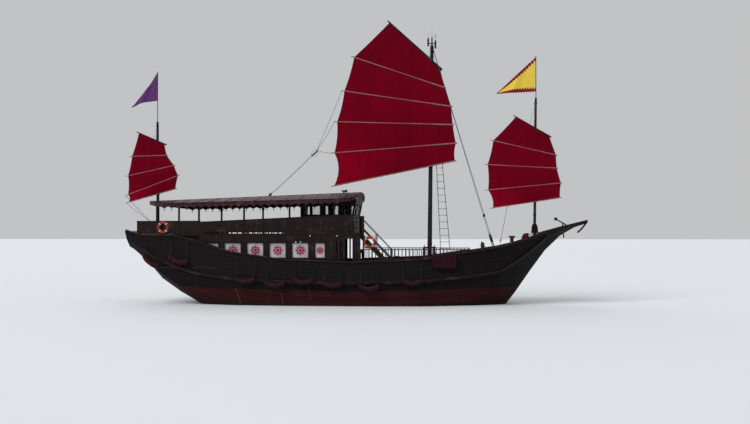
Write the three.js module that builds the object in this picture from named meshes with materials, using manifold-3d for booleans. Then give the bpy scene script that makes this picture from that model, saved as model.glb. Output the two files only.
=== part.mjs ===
// A three-masted Chinese junk of about 28 m, built up from her hull, decks, deckhouses and battened sails.
// Millimetres. +X to the bow, +Y to port, +Z up, the origin on the water line amidships.
import * as THREE from 'three';
import { mergeVertices } from 'three/addons/utils/BufferGeometryUtils.js';
import Module from 'manifold-3d';

const wasm = await Module();
wasm.setup();

// Driving dimensions

const SEAT = 0.3; // gap where one piece is seated on another
const SLOPE_SEAT = 0.9; // the same on a slope that turns under the piece
const FREE = 6; // gap round a piece that moves
const PAST = 10; // a cut runs this far past the face it opens
const FAR = 6000; // half the width of a cutting block, wider than the ship
const SIDES = { port: 1, starboard: -1 };

const MAIN_DECK = 2200;
const POOP_TOP = 4060; // top of the saloon walls and of the solid stern
const UPPER_DECK = 4180;
const SALOON_AFT = -9000;
const SALOON_FORE = -1220;
const STERN_WELL = -13200; // aft end of the upper deck
const STERN_BLOCK = 2920; // half breadth of the closed stern cabin above the rising sheer
const WELL_FORE = 7700; // step up to the forecastle
const FORECASTLE_END = 12300;
const FORECASTLE_LOW = 2950;
const FORECASTLE_HIGH = 4250;
const UPPER_FORE = { port: 170, starboard: 530 }; // fore edge of the upper deck, with a landing to starboard
const foreEdge = (side) => (side > 0 ? UPPER_FORE.port : UPPER_FORE.starboard);
const LANDING = 1900; // the landing's inner edge, off the centreline
const BULWARK = 110; // thickness
const TRANSOM_RAKE = 0.19; // aft lean of the transom for each millimetre of height

// Hull sections: x, height of the bottom, then half breadth and height at the bilge, flank, wale and sheer
const SECTIONS = [
  [-13450, 3210, 1000, 3240, 1750, 3420, 2100, 3850, 2200, 4360],
  [-12600, 2420, 1200, 2520, 2100, 2850, 2480, 3300, 2600, 4060],
  [-11600, 1320, 1500, 1500, 2350, 1950, 2740, 2720, 2850, 4060],
  [-10400, 550, 1700, 720, 2600, 1200, 2980, 2250, 3060, 4060],
  [-9000, -350, 1800, -50, 2800, 700, 3200, 1850, 3230, 3720],
  [-7000, -1050, 1900, -750, 2950, 200, 3360, 1580, 3360, 3080],
  [-4000, -1450, 2100, -1150, 3100, -100, 3450, 1400, 3420, 2660],
  [0, -1500, 2150, -1200, 3150, -150, 3480, 1350, 3450, 2500],
  [4000, -1400, 1900, -1100, 2950, -50, 3350, 1450, 3350, 2660],
  [7000, -1000, 1150, -650, 2050, 300, 2800, 1750, 2950, 3120],
  [8600, -550, 550, -250, 1300, 600, 2200, 1980, 2500, 3380],
  [9560, 700, 350, 950, 900, 1500, 1750, 2550, 2150, 3620],
  [10460, 2000, 300, 2200, 700, 2600, 1400, 3200, 1800, 3900],
  [11350, 3220, 250, 3350, 500, 3550, 1000, 3950, 1400, 4270],
  [12240, 4080, 200, 4170, 380, 4250, 750, 4400, 950, 4520],
  [13050, 4560, 150, 4620, 250, 4650, 400, 4690, 500, 4730],
  [13860, 4830, 60, 4850, 100, 4870, 140, 4900, 160, 4930],
];
const [X, BOTTOM, SHEER_Y, SHEER_Z] = [0, 1, 8, 9];

// Masts: foot and head on the centreline, radius low and high, number of sides
const MASTS = {
  main: { foot: [4435, 2200], head: [4600, 15600], low: 145, high: 100, sides: 14 },
  fore: { foot: [10727, 3790], head: [10830, 12350], low: 90, high: 65, sides: 10 },
  mizzen: { foot: [-12355, 4180], head: [-12410, 11120], low: 100, high: 70, sides: 10 },
};

// Sails: aft x, aft z, fore x, fore z of the yard, of each batten and of the boom, from the head down
const SAILS = {
  main: {
    offset: 225, batten: 42, boom: 58, yard: [45, 78], parrels: [1, 3, 5],
    spars: [
      [2050, 16990, 5090, 14180], [-110, 14920, 5360, 13010], [-710, 12870, 5750, 11870],
      [-1150, 11000, 5850, 10760], [-1310, 9110, 6030, 9640], [-1330, 7100, 5970, 8570],
    ],
  },
  fore: {
    offset: 155, batten: 32, boom: 42, yard: [32, 52], parrels: [1, 4],
    spars: [
      [9640, 11200, 11590, 10040], [8290, 9790, 11990, 8900], [7950, 8350, 12040, 8110],
      [7980, 6820, 12280, 7220], [8260, 5740, 12220, 6340],
    ],
  },
  mizzen: {
    offset: 160, batten: 30, boom: 38, yard: [30, 46], parrels: [1, 4],
    spars: [
      [-13530, 10430, -11940, 9740], [-13960, 8980, -11790, 9030], [-14200, 7780, -11330, 8400],
      [-14200, 6610, -11070, 7770], [-14170, 6140, -11230, 6950],
    ],
  },
};
const CLOTH = 24; // thickness of sailcloth and flags, as plain solids

// Finishes: colour, roughness, metalness
const FINISHES = {
  blackWood: [0x141012, 0.7, 0],
  brownWood: [0x3a1d18, 0.65, 0],
  deckWood: [0x6b5038, 0.8, 0],
  redWood: [0x5a1418, 0.6, 0],
  redCloth: [0x8c0a20, 0.9, 0],
  paleWood: [0xb88f86, 0.6, 0],
  fender: [0x54131b, 0.7, 0],
  panel: [0xe6dfe0, 0.6, 0],
  purple: [0x55306a, 0.9, 0],
  yellow: [0xe2c23a, 0.9, 0],
  lifebuoy: [0xc23b22, 0.5, 0],
  iron: [0x23252a, 0.5, 0.7],
  bronze: [0x8a6a3c, 0.4, 0.9],
  bottomPaint: [0x4a1d1a, 0.7, 0],
  wire: [0x2b2d31, 0.5, 0.8],
};

// Solids from three.js shapes

function solidOf(geometry) {
  const bare = geometry.index ? geometry.toNonIndexed() : geometry.clone();
  bare.deleteAttribute('normal');
  bare.deleteAttribute('uv');
  const merged = mergeVertices(bare, 0.001);
  const vertProperties = Float32Array.from(merged.attributes.position.array);
  const triVerts = Uint32Array.from(merged.index.array);
  return new wasm.Manifold(new wasm.Mesh({ numProp: 3, vertProperties, triVerts }));
}

function fuse(solids) {
  return solids.reduce((whole, solid) => whole.add(solid));
}

function block([x0, x1], [y0, y1], [z0, z1]) {
  const box = new THREE.BoxGeometry(x1 - x0, y1 - y0, z1 - z0);
  return solidOf(box.translate((x0 + x1) / 2, (y0 + y1) / 2, (z0 + z1) / 2));
}

// A flat outline of [x, z] points, given a thickness from y0 to y1
function board(outline, [y0, y1]) {
  const shape = new THREE.Shape(outline.map(([x, z]) => new THREE.Vector2(x, z)));
  const slab = new THREE.ExtrudeGeometry(shape, { depth: y1 - y0, bevelEnabled: false });
  return solidOf(slab.rotateX(Math.PI / 2).translate(0, y1, 0));
}

// A flat outline of [x, y] points, given a thickness from z0 to z1
function plate(outline, [z0, z1]) {
  const shape = new THREE.Shape(outline.map(([x, y]) => new THREE.Vector2(x, y)));
  const slab = new THREE.ExtrudeGeometry(shape, { depth: z1 - z0, bevelEnabled: false });
  return solidOf(slab.translate(0, 0, z0));
}

function rod(from, to, low, high = low, sides = 8) {
  const start = new THREE.Vector3(...from);
  const end = new THREE.Vector3(...to);
  const run = end.clone().sub(start);
  const up = new THREE.Vector3(0, 1, 0);
  const turn = new THREE.Quaternion().setFromUnitVectors(up, run.clone().normalize());
  const cylinder = new THREE.CylinderGeometry(high, low, run.length(), sides);
  const middle = start.add(end).multiplyScalar(0.5);
  return solidOf(cylinder.applyQuaternion(turn).translate(middle.x, middle.y, middle.z));
}

// A square-edged bar along a path of [x, y, z] points, mitred where it turns, its sides upright
function strake(points, width, height) {
  const normalFrom = (i) => {
    const [[x0, y0], [x1, y1]] = [points[i], points[i + 1]];
    return new THREE.Vector2(y0 - y1, x1 - x0).normalize();
  };
  return loft(points.map(([x, y, z], i) => {
    const before = normalFrom(Math.max(i - 1, 0));
    const after = normalFrom(Math.min(i, points.length - 2));
    const mitre = before.clone().add(after).normalize();
    mitre.divideScalar(mitre.dot(after));
    return [[-1, -1], [1, -1], [1, 1], [-1, 1]].map(([side, rise]) => new THREE.Vector3(
      x + mitre.x * side * width / 2, y + mitre.y * side * width / 2, z + rise * height / 2));
  }));
}

const flipped = ([a, b, c]) => [a, c, b];

// The triangles that close a flat section, turned as its points run
function lid(section) {
  const around = (sum, point, i) => sum.add(point.clone().cross(section[(i + 1) % section.length]));
  const normal = section.reduce(around, new THREE.Vector3());
  const [nx, ny, nz] = normal.toArray().map(Math.abs);
  const flat = section.map((point) => {
    if (nx >= ny && nx >= nz) return new THREE.Vector2(point.y, point.z);
    return ny >= nz ? new THREE.Vector2(point.z, point.x) : new THREE.Vector2(point.x, point.y);
  });
  const turn = (corners) => Math.sign(THREE.ShapeUtils.area(corners));
  return THREE.ShapeUtils.triangulateShape(flat, []).map((face) => (
    turn(face.map((i) => flat[i])) === turn(flat) ? face : flipped(face)));
}

// A closed skin through sections that have the same number of points
function loft(sections) {
  const count = sections[0].length;
  const points = sections.flat();
  const faces = [];
  for (let s = 0; s + 1 < sections.length; s += 1) {
    for (let i = 0; i < count; i += 1) {
      const a = s * count + i;
      const b = s * count + ((i + 1) % count);
      faces.push([a, b, a + count], [b, b + count, a + count]);
    }
  }
  const last = points.length - count;
  faces.push(...lid(sections[0]).map(flipped));
  faces.push(...lid(sections[sections.length - 1]).map((face) => face.map((i) => i + last)));
  const volume = faces.reduce((sum, [a, b, c]) => (
    sum + points[a].dot(points[b].clone().cross(points[c]))), 0);
  const geometry = new THREE.BufferGeometry();
  geometry.setAttribute('position', new THREE.Float32BufferAttribute(points.flatMap((p) => p.toArray()), 3));
  geometry.setIndex((volume > 0 ? faces : faces.map(flipped)).flat());
  return solidOf(geometry);
}

function geometryOf(solid) {
  const { vertProperties, triVerts } = solid.getMesh();
  const geometry = new THREE.BufferGeometry();
  geometry.setAttribute('position', new THREE.Float32BufferAttribute(vertProperties, 3));
  geometry.setIndex(Array.from(triVerts));
  return geometry;
}

function moved(solid, x, y, z) {
  return solidOf(geometryOf(solid).translate(x, y, z));
}

// The lines of the hull

function lineAt(x, column) {
  const next = Math.max(1, SECTIONS.findIndex((row) => row[X] > x));
  const [aft, fore] = [SECTIONS[next - 1], SECTIONS[next]];
  return THREE.MathUtils.mapLinear(x, aft[X], fore[X], aft[column], fore[column]);
}

// Half breadth of the hull at a height
function sideAt(x, z) {
  const levels = [2, 4, 6, 8].map((column) => [lineAt(x, column), lineAt(x, column + 1)]);
  const upper = levels.findIndex((level) => level[1] >= z);
  if (upper < 1) return levels[upper < 0 ? levels.length - 1 : 0][0];
  const [[y0, z0], [y1, z1]] = [levels[upper - 1], levels[upper]];
  return THREE.MathUtils.mapLinear(z, z0, z1, y0, y1);
}

// The hull's whole skin, its sides moved out by grow and its top edge lifted by lift
function hullSkin(grow = 0, lift = 0) {
  const ring = (row) => {
    const lean = row === SECTIONS[0] ? TRANSOM_RAKE : 0;
    const at = (y, z) => new THREE.Vector3(row[X] - lean * (z - row[BOTTOM]), y, z);
    const levels = [2, 4, 6, 8].map((column) => [
      Math.max(row[column] + grow, 8), row[column + 1] + (column === 8 ? lift : 0)]);
    const port = levels.map(([y, z]) => at(y, z)).reverse();
    return [...port, at(0, row[BOTTOM]), ...levels.map(([y, z]) => at(-y, z))];
  };
  return loft(SECTIONS.map(ring));
}

// A block on one side of the ship, from the centreline out
function half(side, xs, zs) {
  return block(xs, side > 0 ? [0, FAR] : [-FAR, 0], zs);
}

// All that lies below a height, to cut the foot of a leaning piece level
function below(z) {
  return block([-3 * FAR, 3 * FAR], [-FAR, FAR], [-FAR, z]);
}

// Both ends of a run across the ship, in rising order
function across(side, inner, outer) {
  return side > 0 ? [inner, outer] : [-outer, -inner];
}

const HIGH = 9000; // above every deckhouse, for cutting blocks
const forecastleAt = (x) => THREE.MathUtils.mapLinear(
  x, WELL_FORE, FORECASTLE_END, FORECASTLE_LOW, FORECASTLE_HIGH);

const RUDDER = { x: -9500, stock: 75, head: 600, fore: -9230, aft: -10560, thickness: 90 };
const HEEL = { top: -1930, bottom: -2050, aft: -10250 };
const SCREW = { x: -8130, z: -1250, radius: 520, hub: 95, length: 330, blades: 4, boss: 135 };

function hull() {
  const sternBlock = block([SALOON_AFT - 1600, SALOON_AFT], [-STERN_BLOCK, STERN_BLOCK], [3500, POOP_TOP]);
  const overPoop = block([STERN_WELL, SALOON_AFT + 1], [-FAR, FAR], [POOP_TOP, HIGH]);
  const mainWell = block([SALOON_AFT, WELL_FORE], [-FAR, FAR], [MAIN_DECK, HIGH]);
  const overForecastle = board([
    [WELL_FORE - 1, FORECASTLE_LOW], [FORECASTLE_END, FORECASTLE_HIGH],
    [FORECASTLE_END, HIGH], [WELL_FORE - 1, HIGH],
  ], [-FAR, FAR]);
  const trunk = rod([RUDDER.x, 0, -1000], [RUDDER.x, 0, RUDDER.head + FREE],
    RUDDER.stock + FREE, RUDDER.stock + FREE, 16);
  return hullSkin().add(sternBlock)
    .subtract(overPoop)
    .subtract(mainWell)
    .subtract(hullSkin(-BULWARK, 500).intersect(overForecastle))
    .subtract(trunk);
}

const HULL = hull();
const HULL_SEAT = moved(HULL, 0, 0, SEAT); // what stands on a sloping deck is cut to this

function keel() {
  const outline = [
    [8550, -520], [8300, -1250], [7600, -1900], [6800, -2050], [HEEL.aft, HEEL.bottom], [HEEL.aft, HEEL.top],
    [SCREW.x + 30, HEEL.top], [SCREW.x + 30, -300], [-6000, -900], [6000, -900],
  ];
  const boss = rod([SCREW.x + 900, 0, SCREW.z], [SCREW.x, 0, SCREW.z], SCREW.boss, SCREW.boss, 16);
  return board(outline, [-130, 130]).add(boss).subtract(moved(HULL, 0, 0, -SEAT));
}

function rudder() {
  const blade = [
    [RUDDER.fore, -430], [RUDDER.fore, -1860], [RUDDER.aft, -1780], [RUDDER.aft - 60, -110], [-10100, -130],
  ];
  const stock = rod([RUDDER.x, 0, HEEL.top + SEAT], [RUDDER.x, 0, RUDDER.head],
    RUDDER.stock, RUDDER.stock, 16);
  return board(blade, [-RUDDER.thickness / 2, RUDDER.thickness / 2]).add(stock);
}

// A screw blade's sections: radius, chord, thickness, angle to the plane of turning in degrees
const BLADE = [[60, 200, 46, 62], [300, 360, 28, 42], [SCREW.radius, 170, 12, 30]];

function screw() {
  const centre = new THREE.Vector3(SCREW.x - SEAT - SCREW.length / 2, 0, SCREW.z);
  const axis = new THREE.Vector3(1, 0, 0);
  const blade = (turn) => loft(BLADE.map(([radius, chord, thickness, degrees]) => {
    const angle = THREE.MathUtils.degToRad(degrees);
    const run = new THREE.Vector3(Math.sin(angle), Math.cos(angle), 0);
    const face = new THREE.Vector3(Math.cos(angle), -Math.sin(angle), 0);
    return [[-1, -1], [1, -1], [1, 1], [-1, 1]].map(([along, out]) => new THREE.Vector3(0, 0, radius)
      .addScaledVector(run, along * chord / 2).addScaledVector(face, out * thickness / 2)
      .applyAxisAngle(axis, turn).add(centre));
  }));
  const hub = rod([SCREW.x - SEAT - SCREW.length, 0, SCREW.z], [SCREW.x - SEAT, 0, SCREW.z],
    SCREW.hub * 0.7, SCREW.hub, 16);
  const blades = Array.from({ length: SCREW.blades }, (_, i) => blade(i * 2 * Math.PI / SCREW.blades));
  return fuse([hub, ...blades]);
}

function transomBoard() {
  const [row] = SECTIONS;
  const levels = [2, 4, 6, 8].map((column) => [row[column], row[column + 1]]);
  const outline = [...levels.map(([y, z]) => [y, z]).reverse(), ...levels.map(([y, z]) => [-y, z])];
  const ring = (back) => outline.map(([y, z]) => (
    new THREE.Vector3(row[X] - TRANSOM_RAKE * (z - row[BOTTOM]) - back, y, z)));
  return loft([ring(70), ring(SEAT)]);
}

function bulwark(side) {
  const shell = hullSkin().subtract(hullSkin(-BULWARK, 500));
  return shell.intersect(half(side, [SALOON_AFT + SEAT, WELL_FORE - SEAT], [MAIN_DECK + SEAT, HIGH]));
}

const RAIL = { inner: 130, outer: 70, height: 90, scarf: 4300 };

function capRail(side, grow = 0) {
  return loft(SECTIONS.map((row) => {
    const [y, z] = [row[SHEER_Y], row[SHEER_Z]];
    const x = row === SECTIONS[0] ? row[X] - TRANSOM_RAKE * (z - row[BOTTOM]) : row[X];
    const [inner, outer] = [y - RAIL.inner - grow, y + RAIL.outer + grow];
    const [low, high] = [SEAT - grow, RAIL.height + grow];
    return [[inner, low], [outer, low], [outer, high], [inner, high]]
      .map(([out, up]) => new THREE.Vector3(x, side * out, z + up));
  }));
}

// The cap rail is made in two lengths, which meet by the main mast
const sternRail = (side) => capRail(side).intersect(half(side, [-3 * FAR, RAIL.scarf], [0, HIGH]));
const bowRail = (side) => capRail(side).intersect(half(side, [RAIL.scarf + SEAT, 3 * FAR], [0, HIGH]));

const WALE = { z: 7, aft: -12600, fore: 11350, half: 90, proud: 90 };

function wale(side) {
  const rows = SECTIONS.filter((row) => row[X] >= WALE.aft && row[X] <= WALE.fore);
  const lower = rows.map((row) => [row[X], row[WALE.z] - WALE.half]);
  const upper = rows.map((row) => [row[X], row[WALE.z] + WALE.half]).reverse();
  const band = board([...lower, ...upper], across(side, 0, FAR));
  return hullSkin(WALE.proud).subtract(hullSkin(SEAT)).intersect(band);
}

// Fenders: x, z, tilt in degrees, stand-off from the hull's side
const FENDERS = [
  [-11880, 2560, 37, 490], [-10120, 2650, 16, 330], [-6090, 1520, 0, 295], [-4330, 1300, 0, 295],
  [-2670, 1480, 0, 295], [-980, 1310, 0, 295], [1120, 1130, 0, 295], [3590, 1450, 0, 295],
];
const FENDER = { half: 640, radius: 200, rope: 15, lashing: 470 };
const JACK = {
  drop: 60, radius: 22, out: 18, xs: [-12500, -11600, -10400, -9000, -7000, -4000, 0, 4000, 4300],
};

function fenders(side) {
  const { half: reach, radius } = FENDER;
  const profile = [[0, -reach], [radius, -reach * 0.75], [radius, reach * 0.75], [0, reach]]
    .map(([r, along]) => new THREE.Vector2(r, along));
  const wood = hullSkin(WALE.proud + SEAT);
  const jackAt = (x) => {
    const z = lineAt(x, SHEER_Z) - JACK.drop;
    return [x, side * (sideAt(x, z) + JACK.out), z];
  };
  const line = strake(JACK.xs.map(jackAt), 2 * JACK.radius, 2 * JACK.radius).subtract(hullSkin(SEAT));
  const hung = FENDERS.map(([x, z, tilt, out]) => {
    const centre = new THREE.Vector3(x, side * (sideAt(x, z) + out), z);
    const turn = new THREE.Matrix4().makeRotationY(THREE.MathUtils.degToRad(tilt));
    const body = new THREE.LatheGeometry(profile, 7).rotateZ(-Math.PI / 2).applyMatrix4(turn);
    const sausage = solidOf(body.translate(...centre.toArray())).subtract(wood);
    const ropes = [-1, 1].map((end) => {
      const low = new THREE.Vector3(end * FENDER.lashing, 0, 0).applyMatrix4(turn).add(centre);
      const high = jackAt(low.x);
      return rod([low.x, low.y, low.z + FENDER.radius / 2], high, FENDER.rope, FENDER.rope, 4);
    });
    return fuse([sausage, ...ropes]);
  });
  return fuse([line, ...hung]);
}

const POST = 40; // the side of a railing's square posts

// A balustrade over a path of [x, y] points, with base and top heights as functions of x, boarded up or open
function railing(path, { pitch, base, top, boards = 0 }) {
  const [width, foot, hand] = [60, 50, 50];
  const along = (height) => path.map(([x, y]) => [x, y, height(x)]);
  const bars = [
    strake(along((x) => top(x) - hand / 2), width, hand),
    strake(along((x) => base(x) + SEAT + foot / 2), width, foot),
  ];
  const posts = path.slice(1).flatMap(([x1, y1], i) => {
    const [x0, y0] = path[i];
    const count = Math.max(1, Math.round(Math.hypot(x1 - x0, y1 - y0) / pitch));
    return Array.from({ length: count }, (_, n) => {
      const x = THREE.MathUtils.lerp(x0, x1, (n + 0.5) / count);
      const y = THREE.MathUtils.lerp(y0, y1, (n + 0.5) / count);
      return block([x - POST / 2, x + POST / 2], [y - POST / 2, y + POST / 2],
        [base(x) + foot / 2, top(x) - hand / 2]);
    });
  });
  const middle = (x) => (base(x) + top(x)) / 2;
  const closed = boards ? [strake(along(middle), boards, top(path[0][0]) - base(path[0][0]) - foot)] : [];
  return fuse([...bars, ...posts, ...closed]);
}

const BALUSTRADE = { xs: [2000, 4000, 5500, 6880], top: 3310, inset: 30, pitch: 215 };

function balustrade(side) {
  const xs = [foreEdge(side) - 30, ...BALUSTRADE.xs];
  const path = xs.map((x) => [x, side * (lineAt(x, SHEER_Y) - BALUSTRADE.inset)]);
  return railing(path, {
    pitch: BALUSTRADE.pitch, top: () => BALUSTRADE.top,
    base: (x) => lineAt(x, SHEER_Z) + RAIL.height + SLOPE_SEAT - SEAT,
  });
}

// Saloon windows: middle, width
const WINDOWS = [[-8310, 1030], [-6970, 1030], [-5635, 1030], [-4305, 1030], [-2975, 1030], [-1810, 640]];
const WINDOW_ZS = [2750, 3700];
const WALL = { inner: 2950, outer: 3050, thick: 60 };

function saloonSide(side) {
  const wall = block([SALOON_AFT + SEAT, SALOON_FORE - SEAT], across(side, WALL.inner, WALL.outer),
    [MAIN_DECK + SEAT, POOP_TOP - SEAT]);
  const holes = WINDOWS.map(([middle, width]) => (
    block([middle - width / 2, middle + width / 2], [-FAR, FAR], WINDOW_ZS)));
  return wall.subtract(fuse(holes));
}

function saloonWindows(side) {
  return block([SALOON_AFT + 40, SALOON_FORE - 40], across(side, WALL.inner - 30, WALL.inner - SEAT),
    [WINDOW_ZS[0] - 50, WINDOW_ZS[1] + 50]);
}

const DOORWAY = { half: 750, sill: 2230, head: 4000 };
const FRONT_WINDOW = [1150, 2650];

function saloonFront() {
  const wall = block([SALOON_FORE, SALOON_FORE + WALL.thick], [-WALL.outer, WALL.outer],
    [MAIN_DECK + SEAT, POOP_TOP - SEAT]);
  const doorway = block([SALOON_FORE - PAST, 0], [-DOORWAY.half, DOORWAY.half], [DOORWAY.sill, DOORWAY.head]);
  const windows = Object.values(SIDES).map((side) => (
    block([SALOON_FORE - PAST, 0], across(side, ...FRONT_WINDOW), WINDOW_ZS)));
  return wall.subtract(fuse([doorway, ...windows]));
}

const PIN = 14; // radius of a hinge pin

// A door leaf: its pin's centre, the way it lies, the way it swings, width, heights, thickness, pane heights

function leaf({ pin: [x, y], along: [ux, uy], swing: [vx, vy], width, zs, thick, pane }) {
  const at = (u, v) => [x + u * ux + v * vx, y + u * uy + v * vy];
  const slab = ([u0, u1], [v0, v1], heights) => {
    const [[xa, ya], [xb, yb]] = [at(u0, v0), at(u1, v1)];
    return block([Math.min(xa, xb), Math.max(xa, xb)], [Math.min(ya, yb), Math.max(ya, yb)], heights);
  };
  const face = -(PIN + SEAT);
  const panel = slab([FREE, width - FREE], [face - thick, face + 1.3], zs);
  const light = slab([width * 0.2, width * 0.8], [face - 2 * thick, face + 20], pane);
  const straps = [0.15, 0.85].map((share) => {
    const z = THREE.MathUtils.lerp(zs[0], zs[1], share);
    return slab([2, width * 0.35], [-PIN, 4], [z - 40, z + 40]);
  });
  const barrel = rod([x, y, zs[0]], [x, y, zs[1]], PIN, PIN, 12);
  return fuse([panel.subtract(light), barrel, ...straps]);
}

function saloonDoor(side) {
  return leaf({
    pin: [SALOON_FORE + WALL.thick + PIN + SEAT, side * DOORWAY.half], along: [0, -side], swing: [1, 0],
    width: DOORWAY.half, zs: [DOORWAY.sill + FREE, DOORWAY.head - FREE], thick: 40, pane: [3000, 3700],
  });
}

// Slats and column of the boarding place, each from x to x
const SLATS = [[-1100, -900], [-780, -690], [-580, -520], [-430, -350]];
const COLUMN_AFT = 90;
const GATEWAY = { inner: 2940, outer: 3040, sill: 2270, head: 3900, gateTop: 3200 };

function entranceFrame(side) {
  const deep = across(side, GATEWAY.inner, GATEWAY.outer);
  const zs = [MAIN_DECK + SEAT, POOP_TOP - SEAT];
  const run = [SALOON_FORE + WALL.thick + SEAT, foreEdge(side)];
  return fuse([
    block(run, deep, [zs[0], GATEWAY.sill]),
    block(run, deep, [GATEWAY.head, zs[1]]),
    block([COLUMN_AFT, foreEdge(side)], across(side, GATEWAY.inner - 180, GATEWAY.outer), zs),
    ...SLATS.map((slat) => block(slat, deep, zs)),
  ]);
}

function boardingGate() {
  const [, hinge] = SLATS[SLATS.length - 1];
  return leaf({
    pin: [hinge, GATEWAY.inner - PIN - SEAT], along: [1, 0], swing: [0, -1], width: COLUMN_AFT - hinge,
    zs: [GATEWAY.sill + FREE, GATEWAY.gateTop], thick: 40, pane: [2500, 2950],
  });
}

const deckEdge = (x) => Math.min(3040, lineAt(x, SHEER_Y) - RAIL.inner - 5);

function upperDeck() {
  const xs = [SALOON_AFT, -10400, -11600, -12600, STERN_WELL + SEAT];
  const edge = (side) => [foreEdge(side), ...xs].map((x) => [x, side * deckEdge(x)]);
  const landing = [[foreEdge(-1), -LANDING], [foreEdge(1), -LANDING]];
  return plate([...edge(1), ...edge(-1).reverse(), ...landing], [POOP_TOP + SEAT, UPPER_DECK]);
}

const BREAST = { aft: -8900, low: 4880, high: 5300, inner: 2960, outer: 3020 };
const SCUPPERS = { from: -8600, to: -3900, count: 4, gap: 80, zs: [4195, 4270] };
const STAIR = { inner: -1950, outer: -2750, rise: 198, run: 190, steps: 9, thick: 50 };
const RAILS = [4520, 4870]; // heights of the two rails under the top rail at the head of the stair

function upperBulwark(side) {
  const foot = UPPER_DECK + SEAT;
  const deep = across(side, BREAST.inner, BREAST.outer);
  const panel = board([
    [BREAST.aft, foot], [foreEdge(1), foot], [foreEdge(1), BREAST.high], [BREAST.aft, BREAST.low],
  ], deep);
  const pitch = (SCUPPERS.to - SCUPPERS.from) / SCUPPERS.count;
  const slots = Array.from({ length: SCUPPERS.count }, (_, i) => {
    const aft = SCUPPERS.from + i * pitch;
    return block([aft, aft + pitch - SCUPPERS.gap], [-FAR, FAR], SCUPPERS.zs);
  });
  const middle = side * (BREAST.inner + BREAST.outer) / 2;
  const cap = strake([[BREAST.aft, middle, BREAST.low], [foreEdge(1), middle, BREAST.high]], 100, 50);
  const corner = foreEdge(side) - 40;
  const path = side > 0
    ? [[corner, middle], [corner, HOUSE.half + 60]]
    : [[foreEdge(1) - 20, middle], [corner, middle], [corner, STAIR.outer - 40]];
  const front = railing(path, { pitch: 260, base: () => UPPER_DECK, top: () => BREAST.high });
  const rails = RAILS.map((z) => strake(path.map(([x, y]) => [x, y, z]), 40, 40));
  return fuse([panel.subtract(fuse(slots)), cap, front, ...rails]);
}

const POOP_RAIL = [
  [BREAST.aft - 3, 2985], [-10400, 2860], [-11600, 2660], [-12600, 2400], [-12950, 2280],
];
const POOP_RAIL_TOP = 4960;

function poopRail() {
  const port = POOP_RAIL.map(([x, y]) => [x, y]);
  const path = [...port, ...port.map(([x, y]) => [x, -y]).reverse()];
  return railing(path, { pitch: 560, base: () => UPPER_DECK, top: () => POOP_RAIL_TOP, boards: 24 });
}

// The awning roof: edge and crown heights aft and fore, falling away to the sides in an arch
const ROOF = {
  aft: -12780, fore: 345, half: 3150, skin: 70, fascia: 220, board: 60,
  edge: [5956, 6269], crown: [6180, 6689], ribs: 8,
};
// Its plan, rounded at both ends: x, half breadth
const ROOF_PLAN = [
  [ROOF.aft, 350], [-12560, 950], [-12190, 1850], [-11750, 2700], [-11250, ROOF.half],
  [-600, ROOF.half], [-50, 2980], [200, 2500], [310, 1900], [ROOF.fore, 1000],
];
const roofAt = (x, y) => {
  const share = (x - ROOF.aft) / (ROOF.fore - ROOF.aft);
  const edge = THREE.MathUtils.lerp(...ROOF.edge, share);
  const crown = THREE.MathUtils.lerp(...ROOF.crown, share);
  return edge + (crown - edge) * (1 - (y / ROOF.half) ** 2);
};

function roofHalf(x) {
  const i = ROOF_PLAN.findIndex(([to]) => to >= x);
  const [[x0, half0], [x1, half1]] = [ROOF_PLAN[Math.max(i, 1) - 1], ROOF_PLAN[Math.max(i, 1)]];
  return THREE.MathUtils.mapLinear(x, x0, x1, half0, half1);
}

// The roof's outline drawn in by an inset, from a height over its surface to a depth under it
function roofBand(inset, above, below) {
  const ends = [ROOF.aft + inset, ROOF.fore - inset];
  const xs = [ends[0], ...ROOF_PLAN.map(([x]) => x).filter((x) => x > ends[0] && x < ends[1]), ends[1]];
  return loft(xs.map((x) => {
    const reach = roofHalf(x) - inset;
    const ys = Array.from({ length: ROOF.ribs + 1 }, (_, i) => reach * (2 * i / ROOF.ribs - 1));
    return [
      ...ys.map((y) => new THREE.Vector3(x, y, roofAt(x, y) + above)),
      ...ys.map((y) => new THREE.Vector3(x, y, roofAt(x, y) - below)).reverse(),
    ];
  }));
}

const SCALLOP = { from: -11250, to: -600, pitch: 435, drop: 120 };

function valance(side) {
  const { from, to, pitch, drop } = SCALLOP;
  const count = Math.round((to - from) / pitch);
  const under = (x) => roofAt(x, ROOF.half) - ROOF.fascia;
  const waves = Array.from({ length: count * 2 + 1 }, (_, i) => {
    const x = THREE.MathUtils.lerp(from, to, i / (count * 2));
    return [x, under(x) + 20 - drop * (i % 2)];
  });
  return board([...waves, [to, under(to) + 100], [from, under(from) + 100]],
    across(side, ROOF.half - 2, ROOF.half + 26));
}

const mastAt = ({ foot, head }, z) => THREE.MathUtils.mapLinear(z, foot[1], head[1], foot[0], head[0]);
const mastRadius = ({ foot, head, low, high }, z) => (
  THREE.MathUtils.mapLinear(z, foot[1], head[1], low, high));

function mastStick(mast, grow = 0, from = mast.foot[1]) {
  const { head: [x, z], high, sides } = mast;
  return rod([mastAt(mast, from), 0, from], [x, 0, z], mastRadius(mast, from) + grow, high + grow, sides);
}

// The room under the roof's skin, down past the main deck
function underRoof(gap) {
  return roofBand(ROOF.board + gap, -ROOF.skin - gap, HIGH);
}

function roofCanopy() {
  const shell = roofBand(0, 0, ROOF.fascia);
  const under = underRoof(0);
  return fuse([shell.subtract(under), valance(1), valance(-1)]).subtract(mastStick(MASTS.mizzen, SEAT));
}

const UNDER_ROOF = underRoof(SEAT);
const POSTS = [-11700, -9030, -6330, -3630, -1000];
const BEAM = { knee: -9030, aft: -12600, y: 2860, aftY: 2250, width: 80, height: 130, post: 100 };

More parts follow.
